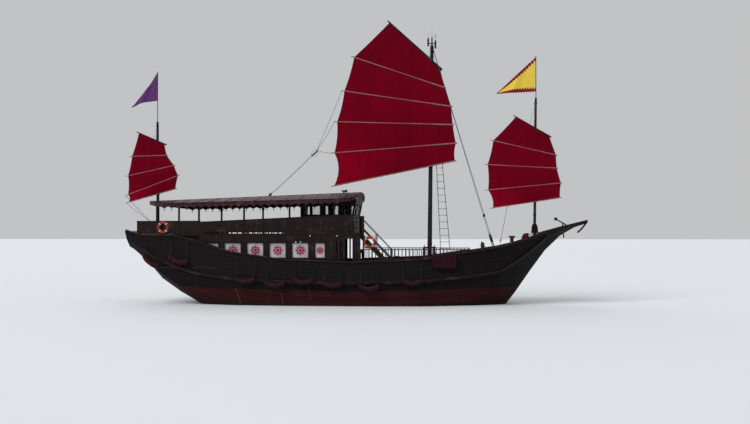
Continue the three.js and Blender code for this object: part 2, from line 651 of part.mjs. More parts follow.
function roofPosts(side) {
  const yAt = (x) => (x > BEAM.knee ? BEAM.y
    : THREE.MathUtils.mapLinear(x, BEAM.aft, BEAM.knee, BEAM.aftY, BEAM.y));
  const beamAt = (x) => [x, side * yAt(x), roofAt(x, yAt(x)) - ROOF.skin - BEAM.height / 2 + 30];
  const beams = strake([BEAM.aft, BEAM.knee, ROOF.fore - 65].map(beamAt), BEAM.width, BEAM.height);
  const posts = POSTS.map((x) => {
    const [, y, z] = beamAt(x);
    const reach = BEAM.post / 2;
    return block([x - reach, x + reach], [y - reach, y + reach], [UPPER_DECK + SEAT, z]);
  });
  return fuse([beams, ...posts]).intersect(UNDER_ROOF);
}

const HOUSE = {
  aft: -3150, fore: 20, half: 1850, thick: 60, sill: 5300, head: 5950, rakeFrom: 5250, rake: 0.2,
};
const HOUSE_DOOR = { from: -1400, to: -700, sill: 4215, head: 6050 };
const screenAt = (z) => HOUSE.fore + Math.max(0, z - HOUSE.rakeFrom) * HOUSE.rake; // the windscreen leans out
const HOUSE_SIDE_WINDOWS = [[-3000, -1960], [-1670, -870]];
const HOUSE_LAST_WINDOW = -540; // from here to the leaning windscreen
const HOUSE_FRONT_WINDOWS = [[-1740, -660], [-540, 540], [660, 1740]];

function wheelhouse() {
  const { aft, fore, thick } = HOUSE;
  const zs = [UPPER_DECK + SEAT, HIGH - 1];
  const room = (inset, [low, high]) => board([
    [aft + inset, low], [fore - inset, low], [fore - inset, HOUSE.rakeFrom],
    [screenAt(high) - inset, high], [aft + inset, high],
  ], [inset - HOUSE.half, HOUSE.half - inset]);
  const lights = [HOUSE.sill, HOUSE.head];
  const [low, high] = lights;
  const holes = [
    ...HOUSE_SIDE_WINDOWS.map((xs) => block(xs, [-FAR, FAR], lights)),
    board([
      [HOUSE_LAST_WINDOW, low], [screenAt(low) - 90, low], [screenAt(high) - 90, high], [HOUSE_LAST_WINDOW, high],
    ], [-FAR, FAR]),
    ...HOUSE_FRONT_WINDOWS.map((ys) => block([fore - 2 * thick, screenAt(high) + thick], ys, lights)),
    block([aft - thick, aft + 2 * thick], HOUSE_FRONT_WINDOWS[2], lights),
    block([aft - thick, aft + 2 * thick], [HOUSE_DOOR.from, HOUSE_DOOR.to], [HOUSE_DOOR.sill, HOUSE_DOOR.head]),
  ];
  return room(0, zs).subtract(room(thick, [0, HIGH + 1])).subtract(fuse(holes)).intersect(UNDER_ROOF);
}

function wheelhouseDoor() {
  return leaf({
    pin: [HOUSE.aft - PIN - SEAT, HOUSE_DOOR.from], along: [0, 1], swing: [-1, 0],
    width: HOUSE_DOOR.to - HOUSE_DOOR.from, zs: [HOUSE_DOOR.sill + FREE, HOUSE_DOOR.head - FREE],
    thick: 40, pane: [5250, 5900],
  });
}

const HELM = { x: -820, z: 5080, radius: 300, spokes: 6 };

function helmConsole() {
  const foot = UPPER_DECK + SEAT;
  const fore = HELM.x + 650;
  return board([[HELM.x, foot], [fore, foot], [fore, 5150], [fore - 200, 5250], [HELM.x, 5200]], [-420, 420]);
}

function helmWheel() {
  const x = HELM.x - SEAT;
  const plane = x - 60;
  const rim = new THREE.TorusGeometry(HELM.radius, 22, 4, 18).rotateY(Math.PI / 2).translate(plane, 0, HELM.z);
  const hub = rod([x - 85, 0, HELM.z], [x, 0, HELM.z], 55, 55, 16);
  const spokes = Array.from({ length: HELM.spokes }, (_, i) => {
    const angle = (i + 0.5) * 2 * Math.PI / HELM.spokes;
    const [y, z] = [Math.sin(angle), Math.cos(angle)].map((share) => share * (HELM.radius + 95));
    return rod([plane, 0, HELM.z], [plane, y, HELM.z + z], 16, 14, 4);
  });
  return fuse([solidOf(rim), hub, ...spokes]);
}

const GUARD_AFT = 80;

function stair() {
  const { rise, run, steps, thick } = STAIR;
  const head = foreEdge(-1);
  const nose = (x) => UPPER_DECK - (x - head) * rise / run;
  const foot = head + (UPPER_DECK - MAIN_DECK) * run / rise;
  const [x0, x1] = [head + SEAT, foot + 100];
  const room = block([x0, x1], [-FAR, FAR], [MAIN_DECK + SEAT, UPPER_DECK + 60]);
  const sides = [[STAIR.outer, STAIR.outer + thick], [STAIR.inner - thick, STAIR.inner]].map((ys) => {
    const middle = (ys[0] + ys[1]) / 2;
    const stringer = board([
      [x0 - 300, nose(x0 - 300) - 260], [x1 + 300, nose(x1 + 300) - 260],
      [x1 + 300, nose(x1 + 300) + 60], [x0 - 300, nose(x0 - 300) + 60],
    ], ys).intersect(room);
    const hand = [[410, 90], [960, 50]].map(([up, height]) => (
      strake([x0 + 20, foot - 60].map((x) => [x, middle, nose(x) + up]), 46, height)));
    const posts = [60, 880, foot - 120 - x0].map((along) => (
      block([x0 + along, x0 + along + 46], [middle - 23, middle + 23],
        [nose(x0 + along) - 60, nose(x0 + along) + 950])));
    return fuse([stringer, ...hand, fuse(posts).subtract(below(MAIN_DECK + SEAT))]);
  });
  const treads = Array.from({ length: steps }, (_, i) => {
    const x = head + SEAT + i * run;
    const z = UPPER_DECK - (i + 1) * rise;
    return block([x, x + run + 30], [STAIR.outer + 5, STAIR.inner - 5], [z, z + 40]);
  });
  // A guard runs on from the inner handrail, along the landing
  const guardY = STAIR.inner - thick / 2;
  const guard = [RAILS[0], RAILS[1], nose(head) + 960].map((z) => (
    strake([[GUARD_AFT, guardY, z], [head + 90, guardY, z]], 46, 46)));
  const post = block([GUARD_AFT, GUARD_AFT + 46], [guardY - 23, guardY + 23],
    [UPPER_DECK + SEAT, nose(head) + 960]);
  return fuse([...sides, ...treads, ...guard, post]);
}

// Masts, sails and rigging

const CROSSTREE = { xs: [4500, 4730], half: 420, zs: [15220, 15290] };

function mainMast() {
  const mast = MASTS.main;
  const [headX, headZ] = mast.head;
  return fuse([
    mastStick(mast, 0, mast.foot[1] - 50).subtract(below(MAIN_DECK + SEAT)),
    block(CROSSTREE.xs, [-CROSSTREE.half, CROSSTREE.half], CROSSTREE.zs),
    rod([headX, 0, headZ - 50], [headX, 0, 16100], 45, 40, 10),
    block([headX - 270, headX + 250], [-30, 30], [15700, 15750]),
    rod([headX - 230, 0, 15560], [headX - 230, 0, 16040], 55, 55, 8),
    rod([headX + 210, 0, 15420], [headX + 210, 0, 15900], 55, 55, 8),
  ]);
}

const POLE = 22; // flagpole radius
const POLES = { fore: { from: 12250, to: 14880, x: 10838 }, mizzen: { from: 11020, to: 14230, x: -12412 } };

function poleMast(name, from) {
  const pole = POLES[name];
  return mastStick(MASTS[name], 0, from).add(rod([pole.x, 0, pole.from], [pole.x, 0, pole.to], POLE, POLE, 8));
}

const alongSpar = ([x0, z0, x1, z1], x) => THREE.MathUtils.mapLinear(x, x0, x1, z0, z1);

function spar([x0, z0, x1, z1], y, aftRadius, foreRadius, past) {
  const run = new THREE.Vector2(x1 - x0, z1 - z0).setLength(past);
  return rod([x0 - run.x, y, z0 - run.y], [x1 + run.x, y, z1 + run.y], aftRadius, foreRadius, 7);
}

// A hoop that holds a spar to its mast
const HOOP = { sides: 12, wall: 34, half: 25, lug: 35 };

function parrel(mast, row, offset) {
  const middle = mastAt(mast, (row[1] + row[3]) / 2);
  const z = alongSpar(row, middle);
  const inner = (mastRadius(mast, z - 30) + SEAT) / Math.cos(Math.PI / HOOP.sides);
  const outer = inner + HOOP.wall;
  const corners = [[inner, -1], [outer, -1], [outer, 1], [inner, 1], [inner, -1]];
  const profile = corners.map(([radius, up]) => new THREE.Vector2(radius, up * HOOP.half));
  const x = mastAt(mast, z);
  const hoop = new THREE.LatheGeometry(profile, HOOP.sides).rotateX(Math.PI / 2).translate(x, 0, z);
  const lug = block([x - HOOP.lug, x + HOOP.lug], [-offset, -inner - PAST], [z - HOOP.half, z + HOOP.half]);
  return solidOf(hoop).add(lug);
}

function yard(name, grow = 0) {
  const { offset, spars, yard: [thin, thick] } = SAILS[name];
  return spar(spars[0], -offset, thin + grow, thick + grow, 160 + grow);
}

function sail(name) {
  const { offset, batten, boom, spars, parrels } = SAILS[name];
  const aft = spars.map(([x, z]) => [x, z]);
  const fore = spars.map(([, , x, z]) => [x, z]).reverse();
  const cloth = board([...aft, ...fore], [-offset - CLOTH / 2, CLOTH / 2 - offset]);
  const sticks = spars.slice(1).map((row, i) => {
    const radius = i === spars.length - 2 ? boom : batten;
    return spar(row, -offset, radius * 0.75, radius, 60);
  });
  const hoops = parrels.map((index) => parrel(MASTS[name], spars[index], offset));
  return fuse([cloth, ...sticks, ...hoops]).subtract(yard(name, SEAT));
}

// Flags: outlines of [x, z] points, from the head of the hoist round
const FLAGS = {
  mizzen: [
    [-12434.3, 14170], [-12434.3, 12430], [-13300, 12330], [-14100, 12010], [-13560, 12640], [-12920, 13400],
  ],
  fore: [[10815.7, 14820], [8450, 12620], [10815.7, 12710]],
};

const LADDER = {
  foot: { y: 3640, z: 2760, xs: [5020, 5635] }, head: { y: 128, z: 15000, xs: [4545, 4640] },
  stile: 20, rung: 12, pitch: 420, first: 3250, last: 14100,
  board: [[4900, 5760], [3150, 3720], [2690, 2760]],
};

function shroudLadder() {
  const { foot, head, board: [xs, ys, zs] } = LADDER;
  const at = (i, z) => {
    const share = (z - foot.z) / (head.z - foot.z);
    const x = THREE.MathUtils.lerp(foot.xs[i], head.xs[i], share);
    return [x, THREE.MathUtils.lerp(foot.y, head.y, share), z];
  };
  const stiles = [0, 1].map((i) => rod(at(i, foot.z - 20), at(i, head.z), LADDER.stile, LADDER.stile, 6));
  const count = Math.floor((LADDER.last - LADDER.first) / LADDER.pitch) + 1;
  const rungs = Array.from({ length: count }, (_, i) => {
    const z = LADDER.first + i * LADDER.pitch;
    return rod(at(0, z), at(1, z), LADDER.rung, LADDER.rung, 4);
  });
  const channel = block(xs, ys, zs).subtract(hullSkin(SEAT));
  return fuse([...stiles, ...rungs, channel]).subtract(mastStick(MASTS.main, SEAT));
}

const STAY = { top: [4690, 370, 15300], foot: [8290, 2510, 3380], radius: 14 };

function forestay(side) {
  const mirror = ([x, y, z]) => [x, side * y, z];
  const [xs, reach, zs] = [CROSSTREE.xs, CROSSTREE.half, CROSSTREE.zs];
  const tree = block([xs[0], xs[1] + 50], [-reach - 50, reach + 50], [zs[0] - SEAT, zs[1] + 300]);
  return rod(mirror(STAY.top), mirror(STAY.foot), STAY.radius, STAY.radius, 6)
    .subtract(tree).subtract(capRail(side, SEAT));
}

// Deck gear

const ANCHOR = { y: -1017.8, head: [11910, 5060], tail: [12720, 4590], ring: [12370, 3950] };

function anchor() {
  const { y, head, tail, ring } = ANCHOR;
  const middle = [(head[0] + tail[0]) / 2, (head[1] + tail[1]) / 2];
  const fluke = ([x, z], dx, dz) => board(
    [[x - dx, z - dz], [x + dz, z - dx], [x + dx, z + dz], [x - dz, z + dx]], [y - 75, y + 20]);
  return fuse([
    rod([head[0], y, head[1]], [tail[0], y, tail[1]], 36, 36, 8),
    rod([middle[0], y, middle[1]], [ring[0], y, ring[1]], 42, 34, 8),
    rod([ring[0], y - 260, ring[1] + 80], [ring[0], y + 30, ring[1] + 80], 26, 26, 8),
    fluke(head, 110, -60),
    fluke(tail, 110, -60),
  ]).subtract(capRail(-1, SEAT)).subtract(hullSkin(SEAT));
}

function windlass() {
  const [x, z] = [10150, 3960];
  const side = [[x - 320, 3450], [x + 260, 3600], [x + 190, z + 280], [x - 60, z + 230]];
  const cheek = (y) => board(side, [y - 45, y + 45]);
  return fuse([
    cheek(-520), cheek(520), rod([x, -760, z], [x, 760, z], 95, 95, 12),
    ...[-660, 0, 660].map((y) => rod([x, y - 70, z], [x, y + 70, z], 165, 165, 12)),
  ]).subtract(HULL_SEAT);
}

function bowBitts() {
  const [x, y] = [9380, 1200];
  const post = (side) => [
    block([x - 65, x + 65], across(side, y - 65, y + 65), [3300, 4000]),
    block([x - 150, x + 150], across(side, y - 85, y + 85), [3960, 4060]),
  ];
  const beam = block([x - 50, x + 50], [-y - 180, y + 180], [3620, 3760]);
  return fuse([beam, ...post(1), ...post(-1)]).subtract(HULL_SEAT);
}

const FIFE = { xs: [4130, 4740], y: 430, top: 3400, post: 90 };

function fifeRail() {
  const { xs: [x0, x1], y, top, post } = FIFE;
  const postAt = (x, centre) => block([x - post / 2, x + post / 2], [centre - post / 2, centre + post / 2],
    [MAIN_DECK + SEAT, top]);
  const posts = [x0, x1].flatMap((x) => [postAt(x, -y), postAt(x, y)]);
  const ring = block([x0 - 60, x1 + 60], [-y - 60, y + 60], [top - 90, top])
    .subtract(block([x0 + 70, x1 - 70], [70 - y, y - 70], [top - 100, top + 10]));
  const winches = [-1, 1].map((side) => (
    rod([x1, side * (y + 30), 2950], [x1, side * (y + 250), 2950], 130, 110, 12)));
  const cleats = [x0, x1].map((x) => rod([x, 0, top - 250], [x, 0, top + 120], 22, 22, 8));
  return fuse([...posts, ring, ...winches, ...cleats]);
}

// A lifebuoy against a flat side: a point on that side, and the side's outward direction in plan
const BUOY = { ring: 285, tube: 75 };

function lifebuoy([x, y, z], [nx, ny]) {
  const out = new THREE.Vector2(nx, ny).setLength(BUOY.tube + SEAT);
  const ring = new THREE.TorusGeometry(BUOY.ring, BUOY.tube, 8, 12).rotateX(Math.PI / 2)
    .rotateZ(Math.atan2(ny, nx) - Math.PI / 2);
  return solidOf(ring.translate(x + out.x, y + out.y, z));
}

function railBuoy(side) {
  const [[x0, y0], [x1, y1]] = [POOP_RAIL[1], POOP_RAIL[2]];
  const x = -11180;
  const y = THREE.MathUtils.mapLinear(x, x0, x1, y0, y1);
  const normal = new THREE.Vector2(y0 - y1, x1 - x0).normalize().multiplyScalar(-1);
  const reach = (Math.abs(normal.x) + Math.abs(normal.y)) * POST / 2;
  const edge = [x + normal.x * reach, y + normal.y * reach];
  return lifebuoy([edge[0], side * edge[1], 4560], [normal.x, side * normal.y]);
}

// The ship

function piece(group, name, finish, solid) {
  const [color, roughness, metalness] = FINISHES[finish];
  const material = new THREE.MeshStandardMaterial({ color, roughness, metalness });
  const mesh = new THREE.Mesh(geometryOf(solid), material);
  mesh.name = name;
  group.add(mesh);
}

function hullGroup() {
  const group = new THREE.Group();
  piece(group, 'hull', 'blackWood', HULL);
  piece(group, 'keel', 'bottomPaint', keel());
  piece(group, 'rudder', 'bottomPaint', rudder());
  piece(group, 'propeller', 'bronze', screw());
  piece(group, 'transom_board', 'brownWood', transomBoard());
  Object.entries(SIDES).forEach(([name, side]) => {
    piece(group, `bulwark_${name}`, 'blackWood', bulwark(side));
    piece(group, `cap_rail_${name}`, 'brownWood', sternRail(side));
    piece(group, `bow_rail_${name}`, 'brownWood', bowRail(side));
    piece(group, `wale_${name}`, 'brownWood', wale(side));
    piece(group, `fenders_${name}`, 'fender', fenders(side));
    piece(group, `balustrade_${name}`, 'brownWood', balustrade(side));
  });
  return group;
}

function deckhouseGroup() {
  const group = new THREE.Group();
  Object.entries(SIDES).forEach(([name, side]) => {
    piece(group, `saloon_side_${name}`, 'brownWood', saloonSide(side));
    piece(group, `saloon_windows_${name}`, 'panel', saloonWindows(side));
    piece(group, `saloon_door_${name}`, 'redWood', saloonDoor(side));
    piece(group, `entrance_frame_${name}`, 'brownWood', entranceFrame(side));
    piece(group, `upper_bulwark_${name}`, 'brownWood', upperBulwark(side));
    piece(group, `roof_posts_${name}`, 'brownWood', roofPosts(side));
    piece(group, `lifebuoy_poop_${name}`, 'lifebuoy', railBuoy(side));
  });
  piece(group, 'saloon_front', 'brownWood', saloonFront());
  piece(group, 'boarding_gate', 'redWood', boardingGate());
  piece(group, 'upper_deck', 'deckWood', upperDeck());
  piece(group, 'poop_rail', 'brownWood', poopRail());
  piece(group, 'roof_canopy', 'redWood', roofCanopy());
  piece(group, 'wheelhouse', 'brownWood', wheelhouse());
  piece(group, 'wheelhouse_door', 'redWood', wheelhouseDoor());
  piece(group, 'helm_console', 'brownWood', helmConsole());
  piece(group, 'helm_wheel', 'redWood', helmWheel());
  piece(group, 'stair', 'brownWood', stair());
  piece(group, 'lifebuoy_stair', 'lifebuoy', lifebuoy([1075, STAIR.outer, 3690], [0, -1]));
  return group;
}

function rigGroup() {
  const group = new THREE.Group();
  piece(group, 'main_mast', 'blackWood', mainMast());
  piece(group, 'fore_mast', 'blackWood', poleMast('fore', 3650).subtract(HULL_SEAT));
  piece(group, 'mizzen_mast', 'blackWood',
    poleMast('mizzen', UPPER_DECK - 50).subtract(below(UPPER_DECK + SEAT)));
  Object.keys(SAILS).forEach((name) => {
    piece(group, `${name}_sail`, 'redCloth', sail(name));
    piece(group, `${name}_yard`, 'paleWood', yard(name));
  });
  const flagWidth = [-CLOTH / 2, CLOTH / 2];
  piece(group, 'fore_flag', 'yellow', board(FLAGS.fore, flagWidth));
  piece(group, 'mizzen_flag', 'purple', board(FLAGS.mizzen, flagWidth));
  piece(group, 'shroud_ladder', 'wire', shroudLadder());
  Object.entries(SIDES).forEach(([name, side]) => piece(group, `forestay_${name}`, 'wire', forestay(side)));
  return group;
}

function deckGearGroup() {
  const group = new THREE.Group();
  piece(group, 'anchor', 'iron', anchor());
  piece(group, 'windlass', 'redWood', windlass());
  piece(group, 'bow_bitts', 'redWood', bowBitts());
  piece(group, 'fife_rail', 'brownWood', fifeRail());
  return group;
}

const junk = new THREE.Group();
junk.add(hullGroup(), deckhouseGroup(), rigGroup(), deckGearGroup());

export default junk;
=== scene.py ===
# %% [markdown]
# # A Chinese junk
#
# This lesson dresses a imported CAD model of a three-masted junk. The model is the frame: its hull, decks,
# masts and joints stay where they are. Here they get their paint and timber, and the soft and small things
# that a plain solid can't show, such as sails, flags, ropes, fenders and lattice work, are made and set on
# them. All lengths are metres, +X is the bow, +Y is port, and the water is at height 0.

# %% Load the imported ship
import math

import bpy
from mathutils import Matrix, Vector


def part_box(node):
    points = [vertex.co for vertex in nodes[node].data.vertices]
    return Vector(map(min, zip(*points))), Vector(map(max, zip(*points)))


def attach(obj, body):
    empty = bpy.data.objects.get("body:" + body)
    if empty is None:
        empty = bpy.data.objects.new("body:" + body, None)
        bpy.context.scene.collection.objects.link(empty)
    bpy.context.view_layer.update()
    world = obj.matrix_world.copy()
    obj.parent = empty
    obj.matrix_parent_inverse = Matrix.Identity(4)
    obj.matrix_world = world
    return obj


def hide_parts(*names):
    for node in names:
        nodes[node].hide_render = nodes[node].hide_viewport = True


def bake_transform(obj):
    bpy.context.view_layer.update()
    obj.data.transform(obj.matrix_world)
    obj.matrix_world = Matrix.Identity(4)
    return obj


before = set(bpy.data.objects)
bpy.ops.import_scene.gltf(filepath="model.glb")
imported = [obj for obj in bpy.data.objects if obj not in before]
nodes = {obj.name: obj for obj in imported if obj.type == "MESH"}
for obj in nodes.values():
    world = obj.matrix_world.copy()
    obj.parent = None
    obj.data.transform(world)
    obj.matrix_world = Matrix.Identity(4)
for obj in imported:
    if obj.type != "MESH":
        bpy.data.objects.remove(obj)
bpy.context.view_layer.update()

# %% [markdown]
# ## Camera, floor and light
#
# The camera is the photographer's: 4.3 m over the water, 64.5 m off the starboard side, turned a little aft
# and up. The lens comes from the picture's own width. The ship floats, so the floor lies at the water line
# and hides what is under it. The light is one wide soft sun from the front left, a weak one from behind,
# and a pale sky all round.

# %% Camera
EYE, TILT, TURN = (7.0, -64.5, 4.3), 91.07, 5.2
PICTURE_WIDTH, FOCAL_PIXELS, SENSOR = 750, 1066, 36

bpy.ops.object.camera_add(location=EYE, rotation=(math.radians(TILT), 0, math.radians(TURN)))
camera = bpy.context.object
camera.data.sensor_width = SENSOR
camera.data.lens = SENSOR * FOCAL_PIXELS / PICTURE_WIDTH
camera.data.clip_end = 2000
bpy.context.scene.camera = camera
print("lens:", round(camera.data.lens, 1), "mm")

# %% Floor
FLOOR_SIZE, FLOOR_MIDDLE = 900, (0, 120, 0)

bpy.ops.mesh.primitive_plane_add(size=FLOOR_SIZE, location=FLOOR_MIDDLE)
floor = bpy.context.object
floor.name = "floor"
print("floor at the water line, metres across:", round(floor.dimensions.x))


# %% Light
def sun(name, strength, softness, tilt, turn):
    bpy.ops.object.light_add(type="SUN", rotation=(math.radians(tilt), 0, math.radians(turn)))
    lamp = bpy.context.object
    lamp.name = name
    lamp.data.energy = strength
    lamp.data.angle = math.radians(softness)


sun("key_light", 2.3, 35, 48, -38)
sun("back_light", 0.9, 50, -55, 25)
sky = bpy.data.worlds.new("pale_sky")
sky.use_nodes = True
sky.node_tree.nodes["Background"].inputs["Color"].default_value = (0.86, 0.88, 0.9, 1)
sky.node_tree.nodes["Background"].inputs["Strength"].default_value = 0.62
bpy.context.scene.world = sky
bpy.context.scene.view_settings.view_transform = "Standard"

# %% [markdown]
# ## Shader arithmetic
#
# Patterns such as planks, stains and weave are sums of simple functions of a point's place. Written as
# nodes by hand they soon hide the idea, so a small class wraps a socket and lets Python's own signs add the
# Math nodes. A second class is one finish: a Principled surface, the place of the point in metres, and one
# method that makes any other node from its type, its settings and its sockets.


# %% Numbers that vary over a surface
class Number:
    """A socket's value, for use in sums."""

    def __init__(self, finish, socket):
        self.finish = finish
        self.socket = socket

    def maths(self, operation, *values):
        made = self.finish.node("ShaderNodeMath", {"operation": operation}, dict(enumerate(values)))
        return Number(self.finish, made.outputs[0])

    def __add__(self, other):
        return self.maths("ADD", self, other)

    def __sub__(self, other):
        return self.maths("SUBTRACT", self, other)

    def __rsub__(self, other):
        return self.maths("SUBTRACT", other, self)

    def __mul__(self, other):
        return self.maths("MULTIPLY", self, other)

    def __truediv__(self, other):
        return self.maths("DIVIDE", self, other)

    def __abs__(self):
        return self.maths("ABSOLUTE", self)

    __radd__ = __add__
    __rmul__ = __mul__

    def floor(self):
        return self.maths("FLOOR", self)

    def fract(self):
        return self.maths("FRACT", self)

    def sine(self):
        return self.maths("SINE", self)

    def greatest(self, other):
        return self.maths("MAXIMUM", self, other)

    def rising(self, start, end):
        """0 up to start, 1 past end, with a soft step between them."""
        sockets = {"Value": self, "From Min": start, "From Max": end}
        made = self.finish.node("ShaderNodeMapRange", {"interpolation_type": "SMOOTHSTEP"}, sockets)
        return Number(self.finish, made.outputs[0])


# %% A finish
def tone(red, green, blue):
    """The linear colour for screen values of 0 to 255."""
    shares = [value / 255 for value in (red, green, blue)]
    return (*[s / 12.92 if s <= 0.04045 else ((s + 0.055) / 1.055) ** 2.4 for s in shares], 1)


GLOSS = 0.14


class Finish:
    """One material, with the place of the point as x, y and z in metres."""

    def __init__(self, name, gloss=GLOSS, **sockets):
        self.material = bpy.data.materials.new(name)
        self.material.use_nodes = True
        self.tree = self.material.node_tree
        self.tree.nodes.clear()
        fixed = {key.replace("_", " ").title(): value for key, value in sockets.items()}
        self.surface = self.node("ShaderNodeBsdfPrincipled", {}, {"Specular IOR Level": gloss, **fixed})
        self.node("ShaderNodeOutputMaterial", {}, {"Surface": self.surface.outputs[0]})
        self.place = self.node("ShaderNodeTexCoord").outputs["Object"]
        self.x, self.y, self.z = self.parts(self.place)

    def node(self, kind, settings=None, sockets=None):
        made = self.tree.nodes.new(kind)
        for key, value in (settings or {}).items():
            setattr(made, key, value)
        for key, value in (sockets or {}).items():
            source = value.socket if isinstance(value, Number) else value
            if isinstance(source, bpy.types.NodeSocket):
                self.tree.links.new(source, made.inputs[key])
            else:
                made.inputs[key].default_value = source
        return made

    def parts(self, vector):
        return [Number(self, out) for out in self.node("ShaderNodeSeparateXYZ", {}, {0: vector}).outputs]

    def on_cloth(self):
        """The place on the piece's own UV map, from 0 to 1 each way."""
        return self.parts(self.node("ShaderNodeUVMap", {"uv_map": "UVMap"}).outputs[0])[:2]

    def noise(self, scale, stretch=(1, 1, 1), detail=3):
        place = self.node("ShaderNodeMapping", {}, {"Vector": self.place, "Scale": stretch}).outputs[0]
        sockets = {"Vector": place, "Scale": scale, "Detail": detail}
        return Number(self, self.node("ShaderNodeTexNoise", {}, sockets).outputs[0])

    def chance(self, number):
        settings = {"noise_dimensions": "1D"}
        return Number(self, self.node("ShaderNodeTexWhiteNoise", settings, {"W": number}).outputs[0])

    def mix(self, share, first, second):
        return self.node("ShaderNodeMix", {"data_type": "RGBA"}, {0: share, 6: first, 7: second}).outputs[2]

    def boards(self, across, width, gap):
        """Each board's own chance number, and the seams between boards."""
        count = across / width
        seam = abs(count.fract() - 0.5).rising(0.5 - gap / width, 0.5 - 0.3 * gap / width)
        return self.chance(count.floor()), seam

    def paint(self, colour):
        self.tree.links.new(colour, self.surface.inputs["Base Color"])

    def dull(self, roughness):
        self.tree.links.new(roughness.socket, self.surface.inputs["Roughness"])

    def relief(self, height, depth):
        bump = self.node("ShaderNodeBump", {}, {"Height": height, "Distance": depth})
        self.tree.links.new(bump.outputs[0], self.surface.inputs["Normal"])


finishes = {}
print("black paint as a linear colour:", [round(value, 4) for value in tone(20, 17, 19)[:3]])

# %% [markdown]
# ## Timber
#
# Almost everything on a junk is wood. It all shares one recipe: boards across one direction, grain
# stretched along another, and a thin film of varnish or paint that is scuffed pale where it is worn. What
# differs is the colour, the width of the boards and the way they run, so one function takes those and gives
# the colour and the heights, and a second makes a finish of them.


# %% Timber finishes
def wood(finish, dark, light, across, width, gap, stretch, worn):
    """The colour of boards, the share that is scuffed, the grain, and their heights."""
    board, seam = finish.boards(getattr(finish, across), width, gap)
    grain = finish.noise(14, stretch, 6)
    blotch = finish.noise(1.7, (1, 1, 1), 3)
    scuff = (blotch * 0.7 + grain * 0.5).rising(0.62, 0.80)
    colour = finish.mix(grain * 0.55 + board * 0.35, dark, light)
    colour = finish.mix(scuff * worn, colour, tone(142, 118, 104))
    height = grain * 0.22 - seam + board * 0.25
    return finish.mix(seam * 0.8, colour, tone(6, 4, 4)), scuff, grain, height


def timber(name, dark, light, across="z", width=0.16, gap=0.007, stretch=(0.1, 1, 1), dull=0.5, depth=0.006,
           worn=0.1, margin=None):
    finish = Finish(name)
    colour, scuff, grain, height = wood(finish, dark, light, across, width, gap, stretch, worn)
    if margin:
        colour = finish.mix(abs(finish.y).rising(margin, margin + 0.01), colour, tone(22, 11, 11))
    finish.paint(colour)
    finish.dull(dull + grain * 0.18 + scuff * 0.12)
    finish.relief(height, depth)
    return finish


DECK = {"dark": tone(62, 45, 35), "light": tone(118, 92, 73), "across": "y", "width": 0.14, "gap": 0.010,
        "stretch": (0.08, 1, 1), "worn": 0.45}

finishes["house"] = timber("house_timber", tone(13, 7, 8), tone(33, 16, 16), across="x", width=0.19,
                           stretch=(1, 1, 0.1))
finishes["rail"] = timber("rail_timber", tone(15, 7, 8), tone(40, 19, 18), across="z", width=0.9)
finishes["stair"] = timber("stair_timber", tone(17, 10, 10), tone(42, 26, 22), across="x", width=0.19,
                           worn=0.5)
finishes["deck"] = timber("deck_planks", dull=0.62, margin=2.9, **DECK)
finishes["roof"] = timber("roof_paint", tone(40, 18, 24), tone(66, 38, 44), across="x", width=0.62, gap=0.018,
                          stretch=(1, 0.12, 1), dull=0.55, depth=0.010, worn=0.18)
finishes["door"] = timber("door_paint", tone(44, 10, 13), tone(80, 20, 24), across="y", width=0.15,
                          stretch=(1, 1, 0.1))
finishes["mast"] = timber("mast_timber", tone(14, 13, 18), tone(34, 32, 40), across="z", width=1.9, gap=0.012,
                          stretch=(1, 1, 0.06), dull=0.42, worn=0.12)
finishes["bottom"] = timber("bottom_paint", tone(50, 18, 17), tone(84, 34, 30), across="z", width=0.26,
                            dull=0.7, worn=0.1)
finishes["pole"] = timber("pole_timber", tone(104, 70, 72), tone(158, 122, 118), across="x", width=2.3,
                          gap=0.01, stretch=(0.12, 1, 1), dull=0.6, worn=0.35)
print("timber finishes:", sorted(finishes))

# %% [markdown]
# ## The hull's paint
#
# The hull is carvel planked, tarred nearly black above and painted a dull red brown below a line about a
# metre over the water. The planks follow the sheer: they sweep up at both ends. So the coordinate across
# the planks is the height less a share of the distance from amidships squared. Seams are grooves in the
# bump, each plank has a slightly different black, and salt and damp stain the lower strakes. The main deck
# and the sloping forecastle are cut into the same solid, so their planks are laid by place: where a point
# lies at the deck's height and inside the bulwarks, it takes the deck's boards.


# %% Where the decks lie
DECK_STEP = 7.7
WELL_DECK = {"height": 2.2, "half": 3.30, "narrows_from": 3.6, "narrows": 0.185}
FORECASTLE = {"height": 2.95, "rises": 0.2826, "half": 2.62, "narrows": 0.43}


def lies_on(finish, height, half_breadth):
    """1 on a deck of the given height, as far out as its half breadth."""
    level = 1 - abs(finish.z - height).rising(0.004, 0.008)
    return level * (half_breadth - abs(finish.y)).rising(0, 0.01)


def hull_decks(finish):
    step = finish.x.rising(DECK_STEP - 0.006, DECK_STEP)
    beyond = finish.x - DECK_STEP
    narrower = (finish.x - WELL_DECK["narrows_from"]).greatest(0) * WELL_DECK["narrows"]
    well = lies_on(finish, WELL_DECK["height"], WELL_DECK["half"] - narrower)
    forecastle = lies_on(finish, FORECASTLE["height"] + beyond * FORECASTLE["rises"],
                         FORECASTLE["half"] - beyond * FORECASTLE["narrows"])
    return well * (1 - step) + forecastle * step


print("the deck steps up at x =", DECK_STEP)

# %% Hull and bottom paint
PLANK, PLANK_LENGTH, SHEER_SWEEP = 0.235, 5.2, 0.0098
PAINT_LINE, PAINT_SWEEP = 0.80, 0.028


